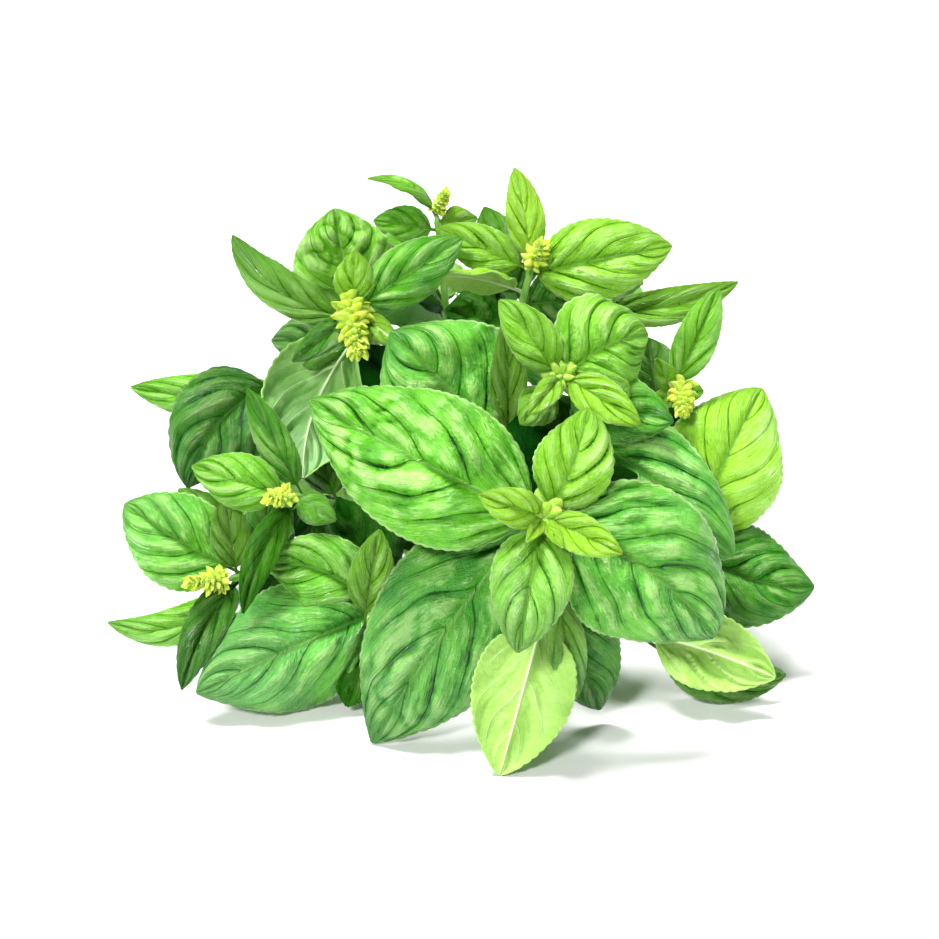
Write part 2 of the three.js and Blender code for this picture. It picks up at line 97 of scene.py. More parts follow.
# %% [markdown]
# ## The bunch, stem by stem
#
# Each stem states where it is cut and where its head is, then its leaves. A leaf states where on
# its stem it grows (0 is the cut, 1 the tip), where its tip is, how wide it is and how it is
# bent: `arch` is how far its midrib bows towards its upper face and `hook` how much more near
# the tip, `fold` the angle at which its halves rise, `roll` its turn away from facing the viewer
# (180 shows its underside), `bow` its sideways bend. The last few values are looks: `young` is
# how yellow it is, `deep` how dark it is painted, partly the darker green of older leaves and
# mostly painted shade for leaves inside the bunch, `sheen` how much a painted reflection of the
# sky greys it, `rough` how crumpled it is and `quilt` how strongly it puffs up between its veins.
# Leaves with a `deep` near 1 fill the gaps inside the bunch and are painted nearly black with
# shade. Young leaves are small, so `young` is worked out from the width where a leaf doesn't say.
# `buds` places a flowering tip, and `tuft` is the size of the youngest leaves at a tip that
# doesn't flower.

# %% The table of stems and leaves
NEW_WIDE, GROWN_WIDE = 4, 24  # widths of a leaf just opened and of one that has lost its yellow
YOUNG_MOST = 0.8  # unless a leaf says more


def leaf(t, tip, wide, **more):
    """A leaf at t along its stem; what it doesn't say is plain and flat."""
    values = dict(arch=0, hook=0, fold=0, roll=0, bow=0, petiole=None)
    values.update(deep=0.0, sheen=0.0, rough=0.25, quilt=1.0)
    yellow = (GROWN_WIDE - wide) / (GROWN_WIDE - NEW_WIDE)
    values["young"] = float(np.clip(yellow, 0, YOUNG_MOST))
    values.update(more)
    return SimpleNamespace(t=t, tip=tip, wide=wide, **values)


def sprig(cut, head, leaves, buds=None, tuft=0.0):
    cut = np.array(cut) - FOOTPRINT_MIDDLE
    return SimpleNamespace(cut=cut, head=head, leaves=leaves, buds=buds, tuft=tuft)


SPRIGS = {
    "front": sprig((3, 143, 2.3), (25, -16, -72), [
        leaf(0.975, (-53, 23, -60), 49, arch=8, bow=-1.5, fold=-4, petiole=4, young=0.12, rough=1),
        leaf(0.985, (39.5, 20.5, -70), 25, arch=3, bow=2.5, fold=8, young=0.55, rough=0.3),
        leaf(0.96, (81.5, -56, -54), 51, arch=9, hook=4, bow=-5.5, petiole=6,
             young=0.05, deep=0.1, sheen=0.25, rough=0.6),
        leaf(0.985, (16, -61, -84), 26, arch=4, fold=22, young=0.45, deep=0.15, sheen=0.3),
        leaf(1, (51, -28, -84), 13, arch=2, fold=30, young=0.9),
        leaf(1, (3, -8.5, -84), 13, arch=2, fold=30, young=0.85),
        leaf(1, (31, -26, -84), 5, fold=30, young=1),
        leaf(1, (19, -24, -84), 5, fold=30, young=1),
        leaf(0.9, (-32.5, -91, -43), 52, arch=9, bow=1.6, fold=-4, petiole=5,
             deep=0.25, sheen=0.35, rough=1),
        leaf(0.82, (-20, -8, -10), 27, arch=5, roll=40, deep=0.9),
        leaf(0.82, (56, -2, -38), 26, arch=5, roll=-40, deep=0.9),
        leaf(0.7, (-8, -47, -6), 27, arch=5, deep=0.95),
        leaf(0.86, (20, 21, -26), 22, arch=3, deep=1),
    ], tuft=1.1),
    "front_low": sprig((9, 141, 2.3), (29, -38, -58), [
        leaf(0.97, (10, -102, -62), 33, arch=-5, roll=180, petiole=16,
             young=0.6, rough=0.1, quilt=0.55),
        leaf(1, (35, -77, -52), 13, arch=3, fold=30, deep=0.15, sheen=0.6),
        leaf(0.97, (43.5, -80, -31), 28, arch=5, deep=0.45, sheen=0.2),
        leaf(0.8, (-8, -62, -18), 26, arch=5, deep=0.85),
        leaf(0.8, (48, -38, -16), 26, arch=5, deep=0.85),
    ]),
    "centre": sprig((6, 149, 7.6), (31, 31.5, -40), [
        leaf(0.98, (10, 56.5, -42), 16, arch=3, bow=1, fold=20, young=0.45),
        leaf(0.97, (59.5, 45, -28), 38, arch=6, bow=-3, young=0.35, rough=0.3),
        leaf(1, (57, 15, -52), 14, arch=2, fold=25, young=0.8),
        leaf(1, (19.5, 18, -52), 9, arch=1, fold=35, young=0.7),
        leaf(0.95, (17, 15, -44), 14, arch=2, deep=0.3),
        leaf(0.93, (68, 16, -38), 24, arch=-3, fold=20, deep=0.15, rough=0.4),
        leaf(0.86, (88, -29, -32), 36, arch=7, bow=-4, sheen=0.25, rough=0.6, quilt=1.3),
        leaf(0.72, (12, 26, 20), 25, arch=5, roll=50, deep=1),
        leaf(0.95, (35, 5, -14), 18, arch=2, deep=0.9),
    ], tuft=0.9),
    "upper_left": sprig((-9.5, 146, 12.9), (-40, 55, -12), [
        leaf(0.96, (-79, 78, -6), 16, arch=3, bow=-8.5, fold=30, roll=20, deep=0.4, sheen=0.2),
        leaf(0.982, (-38, 73, -18), 14, arch=2, young=0.65),
        leaf(0.982, (-2.5, 77, -16), 20, arch=2, fold=8, young=0.1, deep=0.1),
        leaf(0.97, (-59, 36, -17), 10, arch=2, fold=25, young=0.1, deep=0.5),
        leaf(0.982, (-23.5, 41.5, -17), 9, arch=1, deep=0.2),
        leaf(0.93, (-55.5, -3, -16), 39, arch=6, bow=-5.5, roll=180, petiole=5,
             deep=0.12, sheen=0.4, quilt=1.4),
        leaf(0.9, (-66, 43, 4), 20, arch=2, fold=10, deep=0.3, sheen=0.3),
        leaf(0.78, (-50, 25, 20), 27, arch=5, roll=20, deep=0.95),
        leaf(0.78, (-12, 30, 18), 26, arch=5, roll=-60, deep=0.95),
        leaf(0.92, (-60, 58, 2), 16, arch=2, deep=0.5),
    ], buds=((-37, 38.5, -27), 15)),
    "top": sprig((3, 152, 18.2), (21, 69, 0), [
        leaf(0.982, (15, 100.5, -2), 13, arch=2, bow=1, fold=8, young=1),
        leaf(0.97, (67.5, 74.5, 2), 28, arch=3, bow=-0.4, fold=12, petiole=3, young=0.6, rough=0.4),
        leaf(0.982, (-11, 80.5, -4), 16, arch=2, young=0.6),
        leaf(0.93, (-11, 64.5, -12), 20, arch=2, roll=108, young=1),
        leaf(0.9, (5, 87.5, 12), 20, arch=2, deep=0.4),
        leaf(0.9, (34, 56, 8), 22, arch=2, deep=0.6),
        leaf(0.85, (-8, 53, 14), 25, arch=3, deep=0.7),
        leaf(0.76, (42, 58, 24), 27, arch=5, roll=-80, deep=0.9),
    ], buds=((25, 76, -9), 10)),
    "top_left": sprig((-3, 148, 18.4), (-11, 86, 16), [
        leaf(0.982, (-34, 97, 12), 9, arch=6, roll=55, young=0.3),
        leaf(0.96, (-32, 83, 14), 14, arch=2, young=0.2),
        leaf(0.982, (2.5, 84, 13), 11, arch=2, bow=1, deep=0.3),
        leaf(0.88, (-40, 70.5, 9), 22, arch=4, young=0.15),
        leaf(0.76, (-34, 60, 28), 26, arch=5, roll=80, deep=0.9),
    ], buds=((-7.5, 93, 10), 7.5)),
    "right": sprig((9.8, 144, 13.1), (71, 27.5, -8), [
        leaf(0.97, (83, 60.5, -10), 14.5, arch=2, bow=0, fold=25, young=0.3),
        leaf(0.975, (62, 37, -14), 8, arch=1, fold=20, young=0.5),
        leaf(0.98, (78, 26, -8), 8, arch=1, fold=20, young=0.5),
        leaf(0.97, (61, 21, -6), 7, arch=1, fold=20, young=0.5),
        leaf(0.93, (59, 44, 6), 20, arch=2, deep=0.6),
        leaf(0.82, (84, 12, 16), 26, arch=5, roll=-60, deep=0.9),
    ], buds=((71, 18.5, -20), 11)),
    "left": sprig((-6, 145, 7.6), (-60.5, -9, -28), [
        leaf(0.982, (-92.5, 1, -26), 19, arch=3, young=0.3),
        leaf(0.95, (-74, 27, -22), 13, arch=2, fold=38, young=0.1, deep=0.3),
        leaf(0.982, (-44.5, -17, -32), 11, arch=2, young=0.2, deep=0.2),
        leaf(0.96, (-75.5, -48, -36), 13, arch=3, bow=3, fold=42, young=0.1, deep=0.7),
        leaf(0.84, (-52.5, 15, 4), 17, arch=3, deep=0.6),
        leaf(0.72, (-64, -22, 14), 26, arch=5, roll=60, deep=0.9),
    ], buds=((-68, -10, -37), 8.5)),
    "lower_left": sprig((-15, 142, 2.3), (-81.5, -37, -22), [
        leaf(0.97, (-81, -9, -18), 14, arch=2, fold=30, deep=0.5),
        leaf(0.95, (-115, -11.5, -10), 32, arch=3, bow=-1, fold=15, young=0.15, sheen=0.25),
        leaf(0.9, (-97, -6.5, 2), 18, arch=3, deep=0.2),
        leaf(0.97, (-120.5, -51, -18), 13, arch=2, bow=-8.5, young=0.4, sheen=0.2),
        leaf(0.95, (-96, -73.5, -33), 16, arch=3, bow=3, fold=42, young=0.1, deep=0.65),
        leaf(0.9, (-67, -9, -8), 19, arch=2, fold=10, young=0.1, deep=0.5),
        leaf(0.8, (-72, -46, 12), 26, arch=5, roll=30, deep=0.9),
    ], buds=((-95, -38, -33.5), 10)),
    "low_left": sprig((-9, 146, 2.3), (-35, -51, -30), [
        leaf(0.95, (-91, -74.5, -34), 48, arch=6, bow=0.5, fold=-18, petiole=2,
             deep=0.2, sheen=0.45, rough=0.2, quilt=0.7),
        leaf(0.95, (-68.5, -32, -26), 26, arch=2, bow=6, fold=25, young=0.15, deep=0.1),
        leaf(1, (-30, -20, -38), 15, arch=2, fold=20, deep=0.35),
        leaf(0.86, (-52, -18, -8), 24, arch=3, deep=0.8),
        leaf(0.9, (-41, -79, -26), 24, arch=3, deep=0.7),
        leaf(0.78, (-58, -36, 4), 26, arch=5, roll=30, deep=0.8),
        leaf(0.86, (-44, -10, -16), 26, arch=4, deep=0.85),
    ]),
    "left_back": sprig((-12, 143, 7.6), (-67, 30.5, 2), [
        leaf(0.96, (-94, -6, -8), 35, arch=8, bow=6.5, petiole=5, deep=0.65, rough=0.5),
        leaf(0.92, (-113, 27.5, 10), 17, arch=2, bow=-2, fold=10, petiole=3, young=0.25),
    ]),
    "right_low": sprig((12, 147, 7.6), (78, -23, -10), [
        # this leaf's young=0.75 is painted light: its pale yellow-green stands for light shining
        # through it from behind
        leaf(0.97, (97.5, 27, 2), 43, arch=6, hook=4, bow=-1.5, petiole=1,
             young=0.75, rough=0.1, quilt=0.45),
        leaf(0.93, (115, -39, -6), 35, arch=4, bow=5, deep=0.4, rough=0.4),
        leaf(0.78, (58, -2, 22), 27, arch=5, roll=-60, deep=0.85),
    ]),
    "right_floor": sprig((15, 145, 2.3), (57, -55, -24), [
        leaf(0.97, (105.5, -68.5, -16), 20, arch=3, bow=6, petiole=14, deep=0.4),
        leaf(0.99, (102, -69.5, -31), 26, arch=-3, bow=1.5, roll=180,
             young=0.6, rough=0.7, quilt=1.8),
    ]),
    "centre_back": sprig((-3, 148, 2.3), (13.5, 10, -20), [
        leaf(0.95, (-26, 46, -29), 54, arch=8, young=0.05, sheen=0.1, rough=0.4),
        leaf(0.98, (13, 53, -37), 13, arch=3, fold=30, deep=0.4),
        leaf(0.8, (-37, 41, -14), 32, arch=4, deep=1),
        leaf(0.7, (-28, -24, 4), 27, arch=4, deep=0.8),
    ]),
    "top_left_back": sprig((-3, 150, 13.3), (-40, 58, 7), [
        leaf(0.97, (-45, 87, -2), 35, arch=4, bow=-0.5, fold=10, young=0.35, deep=0.05, rough=1.6),
    ]),
    "right_back": sprig((3, 148, 12.9), (50, 59.5, 20), [
        leaf(0.95, (89.5, 62.5, 16), 13, arch=2, bow=3.3, fold=15, petiole=1, deep=0.3),
        leaf(0.95, (48, 72, 50), 24, arch=5, roll=180, deep=0.4),
        leaf(0.8, (73, 14, 42), 22, arch=5, roll=-120, deep=0.6),
        leaf(1, (58, 62, 36), 12, arch=2, fold=20, roll=-140, deep=0.5),
        leaf(0.8, (56, 20, 60), 28, arch=7, roll=-110, deep=0.6),
    ]),
    "back_top": sprig((0, 149, 23.5), (-4, 58, 50), [
        leaf(0.93, (-38, 56, 62), 30, arch=6, roll=130, deep=0.7),
        leaf(0.93, (24, 68, 66), 28, arch=6, roll=-130, deep=0.75),
        leaf(1, (-12, 72, 74), 15, arch=3, fold=20, roll=180, deep=0.4),
        leaf(1, (8, 48, 78), 14, arch=3, fold=20, deep=0.6),
        leaf(0.8, (-26, 24, 92), 38, arch=8, roll=60, deep=0.5),
        leaf(0.8, (30, 30, 96), 36, arch=8, roll=-60, deep=0.5),
    ]),
    "back_left": sprig((-18, 144, 7.6), (-60, 4, 48), [
        leaf(0.95, (-90, 12, 56), 32, arch=6, roll=120),
        leaf(0.97, (-58, 38, 62), 26, arch=5, roll=160),
        leaf(1, (-78, -8, 68), 16, arch=3, fold=20, roll=150),
        leaf(0.85, (-88, -26, 52), 38, arch=7, roll=90),
        leaf(0.75, (-62, -20, 96), 34, arch=7, roll=150),
    ]),
    "back_right": sprig((18, 146, 7.6), (62, 0, 46), [
        leaf(0.93, (93, 10, 48), 32, arch=6, roll=-120),
        leaf(0.98, (58, 30, 78), 24, arch=5, roll=-160),
        leaf(1, (86, -6, 66), 15, arch=3, fold=20, roll=-150),
        leaf(0.85, (90, -34, 44), 38, arch=7, roll=-90),
        leaf(0.75, (58, -24, 96), 34, arch=7, roll=-150),
    ]),
}
print(len(SPRIGS), "stems with", sum(len(s.leaves) for s in SPRIGS.values()), "leaves")

# %% [markdown]
# ## Curves
#
# A stalk runs straight from its cut end and then swings out to its head; a leaf's midrib is one
# cubic curve. Blender's own curve objects could draw both, but the leaves need the direction of
# the curve at every point to lay their blades along it, so the curves are worked out here.

# %% Stalk line and midrib
STALK_STRAIGHT = 28  # how far a stalk runs straight from its cut end
STALK_SWING = 0.36  # length of its curve's two handles, as a share of the way that is left
STALK_STEPS = 400  # points along the curve
GROWING = np.array([0, -1.0, 0])  # the way it leaves its cut end
FAN_CENTRE = np.array([0, 70, 20]) - FOOTPRINT_MIDDLE  # the heads point away from here


def unit(v):
    return v / np.maximum(np.linalg.norm(v, axis=-1, keepdims=True), 1e-9)


def cubic(p, t):
    """Places on the cubic curve from p[0] to p[3] whose handles are p[1] and p[2]."""
    t = np.asarray(t, float)[..., None]
    return ((1 - t) ** 3 * p[0] + 3 * (1 - t) ** 2 * t * p[1]
            + 3 * (1 - t) * t**2 * p[2] + t**3 * p[3])


def cubic_slope(p, t):
    t = np.asarray(t, float)[..., None]
    return unit((1 - t) ** 2 * (p[1] - p[0]) + 2 * (1 - t) * t * (p[2] - p[1])
                + t**2 * (p[3] - p[2]))


class StalkLine:
    """Points along a stalk, evenly spread by length from its cut end (0) to its tip (1)."""

    def __init__(self, cut, head):
        bend, end = cut + GROWING * STALK_STRAIGHT, place(head)
        reach = np.linalg.norm(end - bend)
        outwards = unit(end - FAN_CENTRE)
        swing = [bend, bend + GROWING * reach * STALK_SWING,
                 end - outwards * reach * STALK_SWING, end]
        self.points = np.vstack([cut, cubic(swing, np.linspace(0, 1, STALK_STEPS))])
        steps = np.linalg.norm(np.diff(self.points, axis=0), axis=1)
        self.share = np.concatenate([[0], np.cumsum(steps)]) / steps.sum()
        self.length = steps.sum()

    def at(self, t):
        return np.stack([np.interp(t, self.share, self.points[:, k]) for k in range(3)], axis=-1)

    def along(self, t):
        """The stalk's direction at t."""
        step = 0.004
        before, after = np.maximum(np.subtract(t, step), 0), np.minimum(np.add(t, step), 1)
        return unit(self.at(after) - self.at(before))


LINES = {name: StalkLine(s.cut, s.head) for name, s in SPRIGS.items()}
print("longest stalk:", round(max(line.length for line in LINES.values())), "mm")

# %% [markdown]
# ## The form of a leaf
#
# A basil blade is egg-shaped with a short point. Its side veins leave the midrib in pairs and
# sweep towards the tip at a low angle, and the blade puffs up between them, so that the leaf
# looks quilted; smaller puffs lie between the rungs that join one side vein to the next. The
# margin has small blunt teeth. Sculpting would give each leaf by hand; one formula gives all of
# them, from a value `s` along the midrib and `u` across it, and lets every leaf keep the bend
# and the outline that the table says.

# %% The blade's bend and outline
PETIOLE_SHARE, PETIOLE_MOST = 0.14, 9  # length of the leaf's own bare stalk
SHOULDER, POINT = 0.55, 0.8  # less is fuller: near the stalk, near the tip
HANDLES = 0.33, 0.67  # where along the leaf the midrib's two handles are
CURL = -24  # degrees by which a half turns down towards its margin
SWELL = 0.16  # how far each half rounds up, as a share of its width
WAVE, WAVES = 0.035, 2.5  # slow waves of the margin: height as a share of width, number
RUFFLE, RUFFLE_MM = 0.012, 10  # quick waves: height as a share of width, length
RIBBON = 1.0  # width of the blade where it runs down its bare stalk
TEETH_MM = 3.3  # from one tooth to the next
TOOTH, TOOTH_FULL = 0.6, 30  # height of a tooth, full on leaves from this width up
TOOTH_ROUND = 0.8  # less gives blunter teeth


def turned(v, axis, degrees):
    """v turned about a unit axis."""
    a = math.radians(degrees)
    return v * math.cos(a) + np.cross(axis, v) * math.sin(a) + axis * (axis @ v) * (1 - math.cos(a))


def square_to(v, axis):
    """The direction nearest to v that is square to a unit axis."""
    return unit(v - axis * np.sum(v * axis, axis=-1, keepdims=True))


def outline(b):
    """Width at b, from the blade's foot (0) to its tip (1), as a share of its full width."""
    inside = np.clip(b, 1e-6, 1 - 1e-6)
    fullest = SHOULDER / (SHOULDER + POINT)
    shape = inside**SHOULDER * (1 - inside) ** POINT
    return np.where((b > 0) & (b < 1), shape / (fullest**SHOULDER * (1 - fullest) ** POINT), 0)


def smooth(x, low, high):
    """0 up to low, 1 from high on, and an easy slope between them."""
    x = np.clip((x - low) / (high - low), 0, 1)
    return x * x * (3 - 2 * x)


class Spine:
    """How a leaf lies: its midrib, the face that it turns to the viewer, where its blade starts."""

    def __init__(self, line, leaf):
        start, end = line.at(leaf.t), place(leaf.tip)
        self.leaf, self.reach = leaf, float(np.linalg.norm(end - start))
        chord = (end - start) / self.reach
        self.face = turned(square_to(-BACK, chord), chord, leaf.roll)
        sideways = np.cross(chord, self.face)

        def handle(share, height):
            """A handle, lifted by 4/3 because a cubic bows by only 3/4 of its handles' height."""
            bent = self.face * height + sideways * leaf.bow
            return start + chord * self.reach * share + bent * 4 / 3

        self.midrib = [start, handle(HANDLES[0], leaf.arch),
                       handle(HANDLES[1], leaf.arch + leaf.hook), end]
        petiole = leaf.petiole or min(PETIOLE_MOST, self.reach * PETIOLE_SHARE)
        self.collar = petiole / self.reach

    def axes(self, s):
        """Directions at s: along the midrib, out of the upper face, and across the blade."""
        along = cubic_slope(self.midrib, s)
        up = square_to(np.broadcast_to(self.face, along.shape), along)
        return along, up, np.cross(along, up)


print("a blade 80 mm long has", round(80 / TEETH_MM), "teeth down each side")

# %% [markdown]
# ### Quilting and crumpling
#
# `phase` is a whole number along every side vein, and `rung` along every small vein that joins
# two of them. The puffs have round tops and sharp creases, which is what catches the light.
# Pleats and finer crimps run alongside the side veins, and broad billows lift whole parts of a
# blade. Old and crowded leaves are crumpled as well, most of all near the tip. The irregular
# part comes from soft noise; the seed, times a number for each use, keeps the uses apart.

# %% The relief of a blade
VEIN_SWEEP, VEIN_BEND = 0.42, 0.16  # how far a side vein runs forward on its way to the margin
VEIN_PAIRS, VEIN_PAIR_MM = 2.4, 26  # the fewest pairs, and one more for each 26 mm of width
VEIN_STAGGER, VEIN_WANDER, WANDER_MM = 0.12, 0.16, 14  # they aren't quite opposite or even
VEIN_STRETCH = 2.1  # length of a side vein for each millimetre it goes outwards
QUILT = 0.056  # height of the puffs between side veins, as a share of the leaf's width
PUFF_ROUND, SMALL_PUFF_ROUND = 0.7, 0.8  # less is rounder, with a sharper crease
PUFF_MIDDLE = 0.6  # the height of a puff on the whole, so that the blade isn't lifted by them
PUFF_EVEN, PUFF_UNEVEN, UNEVEN_MM = 0.9, 0.8, 12  # some stand higher than others
SMALL_PUFFS, PLEATS, CRIMPS, BILLOWS = 0.14, 0.3, 0.26, 0.9  # heights, as shares of the puffs'
RUNG_MM, RUNG_WANDER, RUNG_WANDER_MM = 4.8, 0.4, 6  # from one rung to the next, not evenly
PLEATS_A_GAP, PLEAT_MM = 2.4, 20  # pleats between two side veins, and how long they are
CRIMPS_A_GAP, CRIMP_MM = 6.5, 9
BILLOW_MM = 19
BLISTER_MM, BLISTER_GROWTH = 4.5, 0.06  # the least width, and more on a broader leaf
BLISTER_HEIGHT = 0.05  # as a share of the leaf's width
FINE_MM, FINE_HEIGHT = 2.6, 0.16
RIB_GROOVE, GROOVE_WIDE = 0.022, 0.16  # the midrib's groove, as shares of the leaf's width
FLAT_EDGE = 0.6  # how much of the relief is gone at the margin
NOISE_GAIN = 1.6  # plain noise seldom goes past 0.6 either way


def lumps(x, y, seed):
    """Soft random heights, about -1 to 1, with hills one unit apart."""
    return np.array([noise.noise(Vector((p, q, seed))) for p, q in zip(x, y)]) * NOISE_GAIN


def quilting(leaf, b, u, long_mm, wide_mm, seed):
    """The relief between the veins and the billows, with the values that tell where veins are."""
    across, side = np.abs(u), np.sign(u)
    pairs = VEIN_PAIRS + leaf.wide / VEIN_PAIR_MM
    phase = (pairs * (b - VEIN_SWEEP * across - VEIN_BEND * across**2)
             + VEIN_STAGGER * side + 0.37 * seed)
    phase = phase + VEIN_WANDER * lumps(long_mm / WANDER_MM, wide_mm / WANDER_MM, seed * 3.1)
    gap = np.floor(phase)
    along_vein = np.abs(wide_mm) * VEIN_STRETCH
    rung = (along_vein / RUNG_MM + (gap * 0.37 + side * 0.21) % 1
            + RUNG_WANDER * lumps(long_mm / RUNG_WANDER_MM, wide_mm / RUNG_WANDER_MM, seed))
    puff = np.abs(np.sin(np.pi * phase)) ** PUFF_ROUND
    small_puff = np.abs(np.sin(np.pi * rung)) ** SMALL_PUFF_ROUND
    uneven = PUFF_EVEN + PUFF_UNEVEN * lumps(long_mm / UNEVEN_MM, wide_mm / UNEVEN_MM, seed * 7.7)
    pleats = lumps(phase * PLEATS_A_GAP, along_vein / PLEAT_MM + side, seed * 4.9)
    crimps = lumps(phase * CRIMPS_A_GAP, along_vein / CRIMP_MM + side * 3, seed * 6.1)
    billow = lumps(long_mm / BILLOW_MM, wide_mm / BILLOW_MM, seed * 2.3 + 9)
    relief = ((puff - PUFF_MIDDLE) * uneven + SMALL_PUFFS * puff * (small_puff - PUFF_MIDDLE)
              + PLEATS * pleats + CRIMPS * crimps)
    return phase, along_vein, relief * leaf.quilt, billow


def crumpling(leaf, b, long_mm, wide_mm, seed):
    """Blisters with creases between them, and a fine unevenness over all."""
    size = BLISTER_MM + leaf.wide * BLISTER_GROWTH
    blisters = np.abs(lumps(long_mm / size, wide_mm / size, seed * 9.7)) ** 0.75 - 0.35
    fine = lumps(long_mm / FINE_MM, wide_mm / FINE_MM, seed * 5.3 + 40)
    outer = 0.25 + 0.75 * smooth(b, 0.3, 0.8)
    return (leaf.rough * leaf.wide * BLISTER_HEIGHT * blisters * outer
            + FINE_HEIGHT * fine * min(leaf.wide / 20, 1))


def leaf_surface(spine, s, u, seed):
    """Places on the blade's middle surface and the values that its finish needs."""
    leaf = spine.leaf
    _, up, out = spine.axes(s)
    b = (s - spine.collar) / (1 - spine.collar)
    full = outline(b)
    side, across = np.sign(u), np.abs(u)
    long_mm, wide_mm = b * spine.reach, u * full * leaf.wide / 2
    between_teeth = 1 - np.abs(np.sin(np.pi * long_mm / TEETH_MM)) ** TOOTH_ROUND
    notch = TOOTH * min(leaf.wide / TOOTH_FULL, 1) * between_teeth
    toothed = leaf.wide / 2 * full - notch * np.minimum(full * 2, 1) * across**6
    half = np.maximum(toothed, RIBBON / 2)
    angle = np.radians(leaf.fold + CURL * across / 2)
    swell = SWELL * leaf.wide / 2 * full * np.sin(np.pi * across)
    wave = WAVE * leaf.wide * across**2 * full * np.sin(2 * np.pi * WAVES * b + side + leaf.wide)
    quick = np.sin(2 * np.pi * long_mm / RUFFLE_MM + side * 2 + seed)
    ruffle = RUFFLE * leaf.wide * across**4 * full * quick
    phase, along_vein, relief, billow = quilting(leaf, b, u, long_mm, wide_mm, seed)
    off_rib = smooth(across, 0.0, GROOVE_WIDE)
    damped = off_rib * (1 - FLAT_EDGE * across**4) * np.minimum(full * 1.3, 1)
    crumples = crumpling(leaf, b, long_mm, wide_mm, seed)
    height = (QUILT * leaf.wide * (relief + BILLOWS * billow) + crumples) * damped
    height = height + RIB_GROOVE * leaf.wide * off_rib * full
    at = (cubic(spine.midrib, s)
          + out * (side * across * half * np.cos(angle))[:, None]
          + up * (across * half * np.sin(angle) + swell + wave + ruffle + height)[:, None])
    puffed = (relief + crumples / 1.6) * damped
    return at, SimpleNamespace(phase=phase, along_vein=along_vein, relief=puffed,
                               long=long_mm, wide=wide_mm, b=b)


print("a 50 mm leaf puffs up by", QUILT * 50, "mm between its side veins")


# %% [markdown]
# ## Helpers for meshes
#
# Every leaf starts as the same flat grid, and every stalk and midrib as the same globe, whose
# rings are then spread out along a curve: a globe is already closed at both ends. Each copy gets
# a mesh of its own, so that it can be bent. Values that a finish needs to know, such as how near
# a point is to a vein, are kept on the mesh as attributes, because they follow the blade however
# it is bent, and a pattern on plain coordinates would cut straight through it.

# %% Grid and globe to copy, and small mesh helpers
def deselect():
    bpy.ops.object.select_all(action="DESELECT")


def points_of(obj):
    flat = np.empty(len(obj.data.vertices) * 3)
    obj.data.vertices.foreach_get("co", flat)
    return flat.reshape(-1, 3)


def set_points(obj, points_mm):
    """Puts the points in place, none of them outside the rigid part's box."""
    inside = np.clip(points_mm * MM, cad_box[0], cad_box[1])
    obj.data.vertices.foreach_set("co", inside.ravel())
    obj.data.update()


def keep_values(obj, name, *columns):
    """Keeps three values for each point, or one for all, as an attribute of the mesh."""
    values = np.stack([np.broadcast_to(c, len(obj.data.vertices)) for c in columns], axis=-1)
    layer = obj.data.attributes.new(name, "FLOAT_VECTOR", "POINT")
    layer.data.foreach_set("vector", values.astype(np.float32).ravel())


def copy_of(master, *materials):
    made = master.copy()
    made.data = master.data.copy()
    made.hide_render = made.hide_viewport = False
    bpy.context.collection.objects.link(made)
    for material in materials:
        made.data.materials.append(material)
    return made


def join(objects, name):
    deselect()
    for obj in objects:
        obj.select_set(True)
    bpy.context.view_layer.objects.active = objects[0]
    bpy.ops.object.join()
    made = bpy.context.object
    made.name = made.data.name = name
    return made


def set_aside(obj):
    """Keeps an object only as a model for copies."""
    obj.hide_render = obj.hide_viewport = True
    bpy.context.collection.objects.unlink(obj)
    return obj


def flat_grid(along, across):
    deselect()
    bpy.ops.mesh.primitive_grid_add(x_subdivisions=along, y_subdivisions=across, size=1)
    bpy.ops.object.shade_smooth()
    return set_aside(bpy.context.object)


def globe(around, rings):
    deselect()
    bpy.ops.mesh.primitive_uv_sphere_add(segments=around, ring_count=rings, radius=1)
    bpy.ops.object.shade_smooth()
    return set_aside(bpy.context.object)


GRIDS = {
    "large": flat_grid(118, 52),
    "middling": flat_grid(58, 28),
    "hidden": flat_grid(30, 12),
    "small": flat_grid(24, 10),
}
STALK_RINGS, RIB_RINGS = 48, 24
STALK_GLOBE, RIB_GLOBE = globe(16, STALK_RINGS), globe(6, RIB_RINGS)
print("one large blade starts with", len(GRIDS["large"].data.polygons), "faces")

# %% [markdown]
# ## Finishes
#
# Fresh basil is never one green. The upper face of a blade is glossy and mid green: its side
# veins lie in creases darkened by painted shade, painted highlights make the crests between them
# pale, the youngest leaves are yellow-green, and light from behind comes through as a warm
# yellow-green. The underside is paler and matt, with pale veins that stand out. Stalks are pale
# green and faintly streaked, and the buds are nearly yellow.
#
# Each finish is a Principled surface mixed with a Translucent one, because a leaf is too thin to
# scatter light sideways like wax, but does let a good part of it through. Its IOR, from 1.42 to
# 1.5, is that of the waxy skin. Colours are laid over each other like thin paint, each where a
# mask says, and heights for the bump are added up in the same way.

# %% Colours, one helper for nodes, layers of colour and of height
def linear(hex_colour):
    """An sRGB hex value in linear light, with an alpha of 1."""
    srgb = [int(hex_colour[i : i + 2], 16) / 255 for i in (1, 3, 5)]
    return (*[c / 12.92 if c <= 0.04045 else ((c + 0.055) / 1.055) ** 2.4 for c in srgb], 1.0)


def node(material, kind, settings=None, **inputs):
    """Adds a node; each input is a value or another node's output, by its name or its number."""
    tree = material.node_tree
    made = tree.nodes.new(kind)
    for key, value in (settings or {}).items():
        setattr(made, key, value)
    for key, value in inputs.items():
        number = key[1:]
        socket = made.inputs[int(number) if number.isdigit() else key.replace("_", " ")]
        if isinstance(value, bpy.types.NodeSocket):
            tree.links.new(value, socket)
        else:
            socket.default_value = value
    return made


SOFT, BLEND = {"interpolation_type": "SMOOTHSTEP"}, {"data_type": "RGBA"}
TIMES, TIMES_PLUS = {"operation": "MULTIPLY"}, {"operation": "MULTIPLY_ADD"}


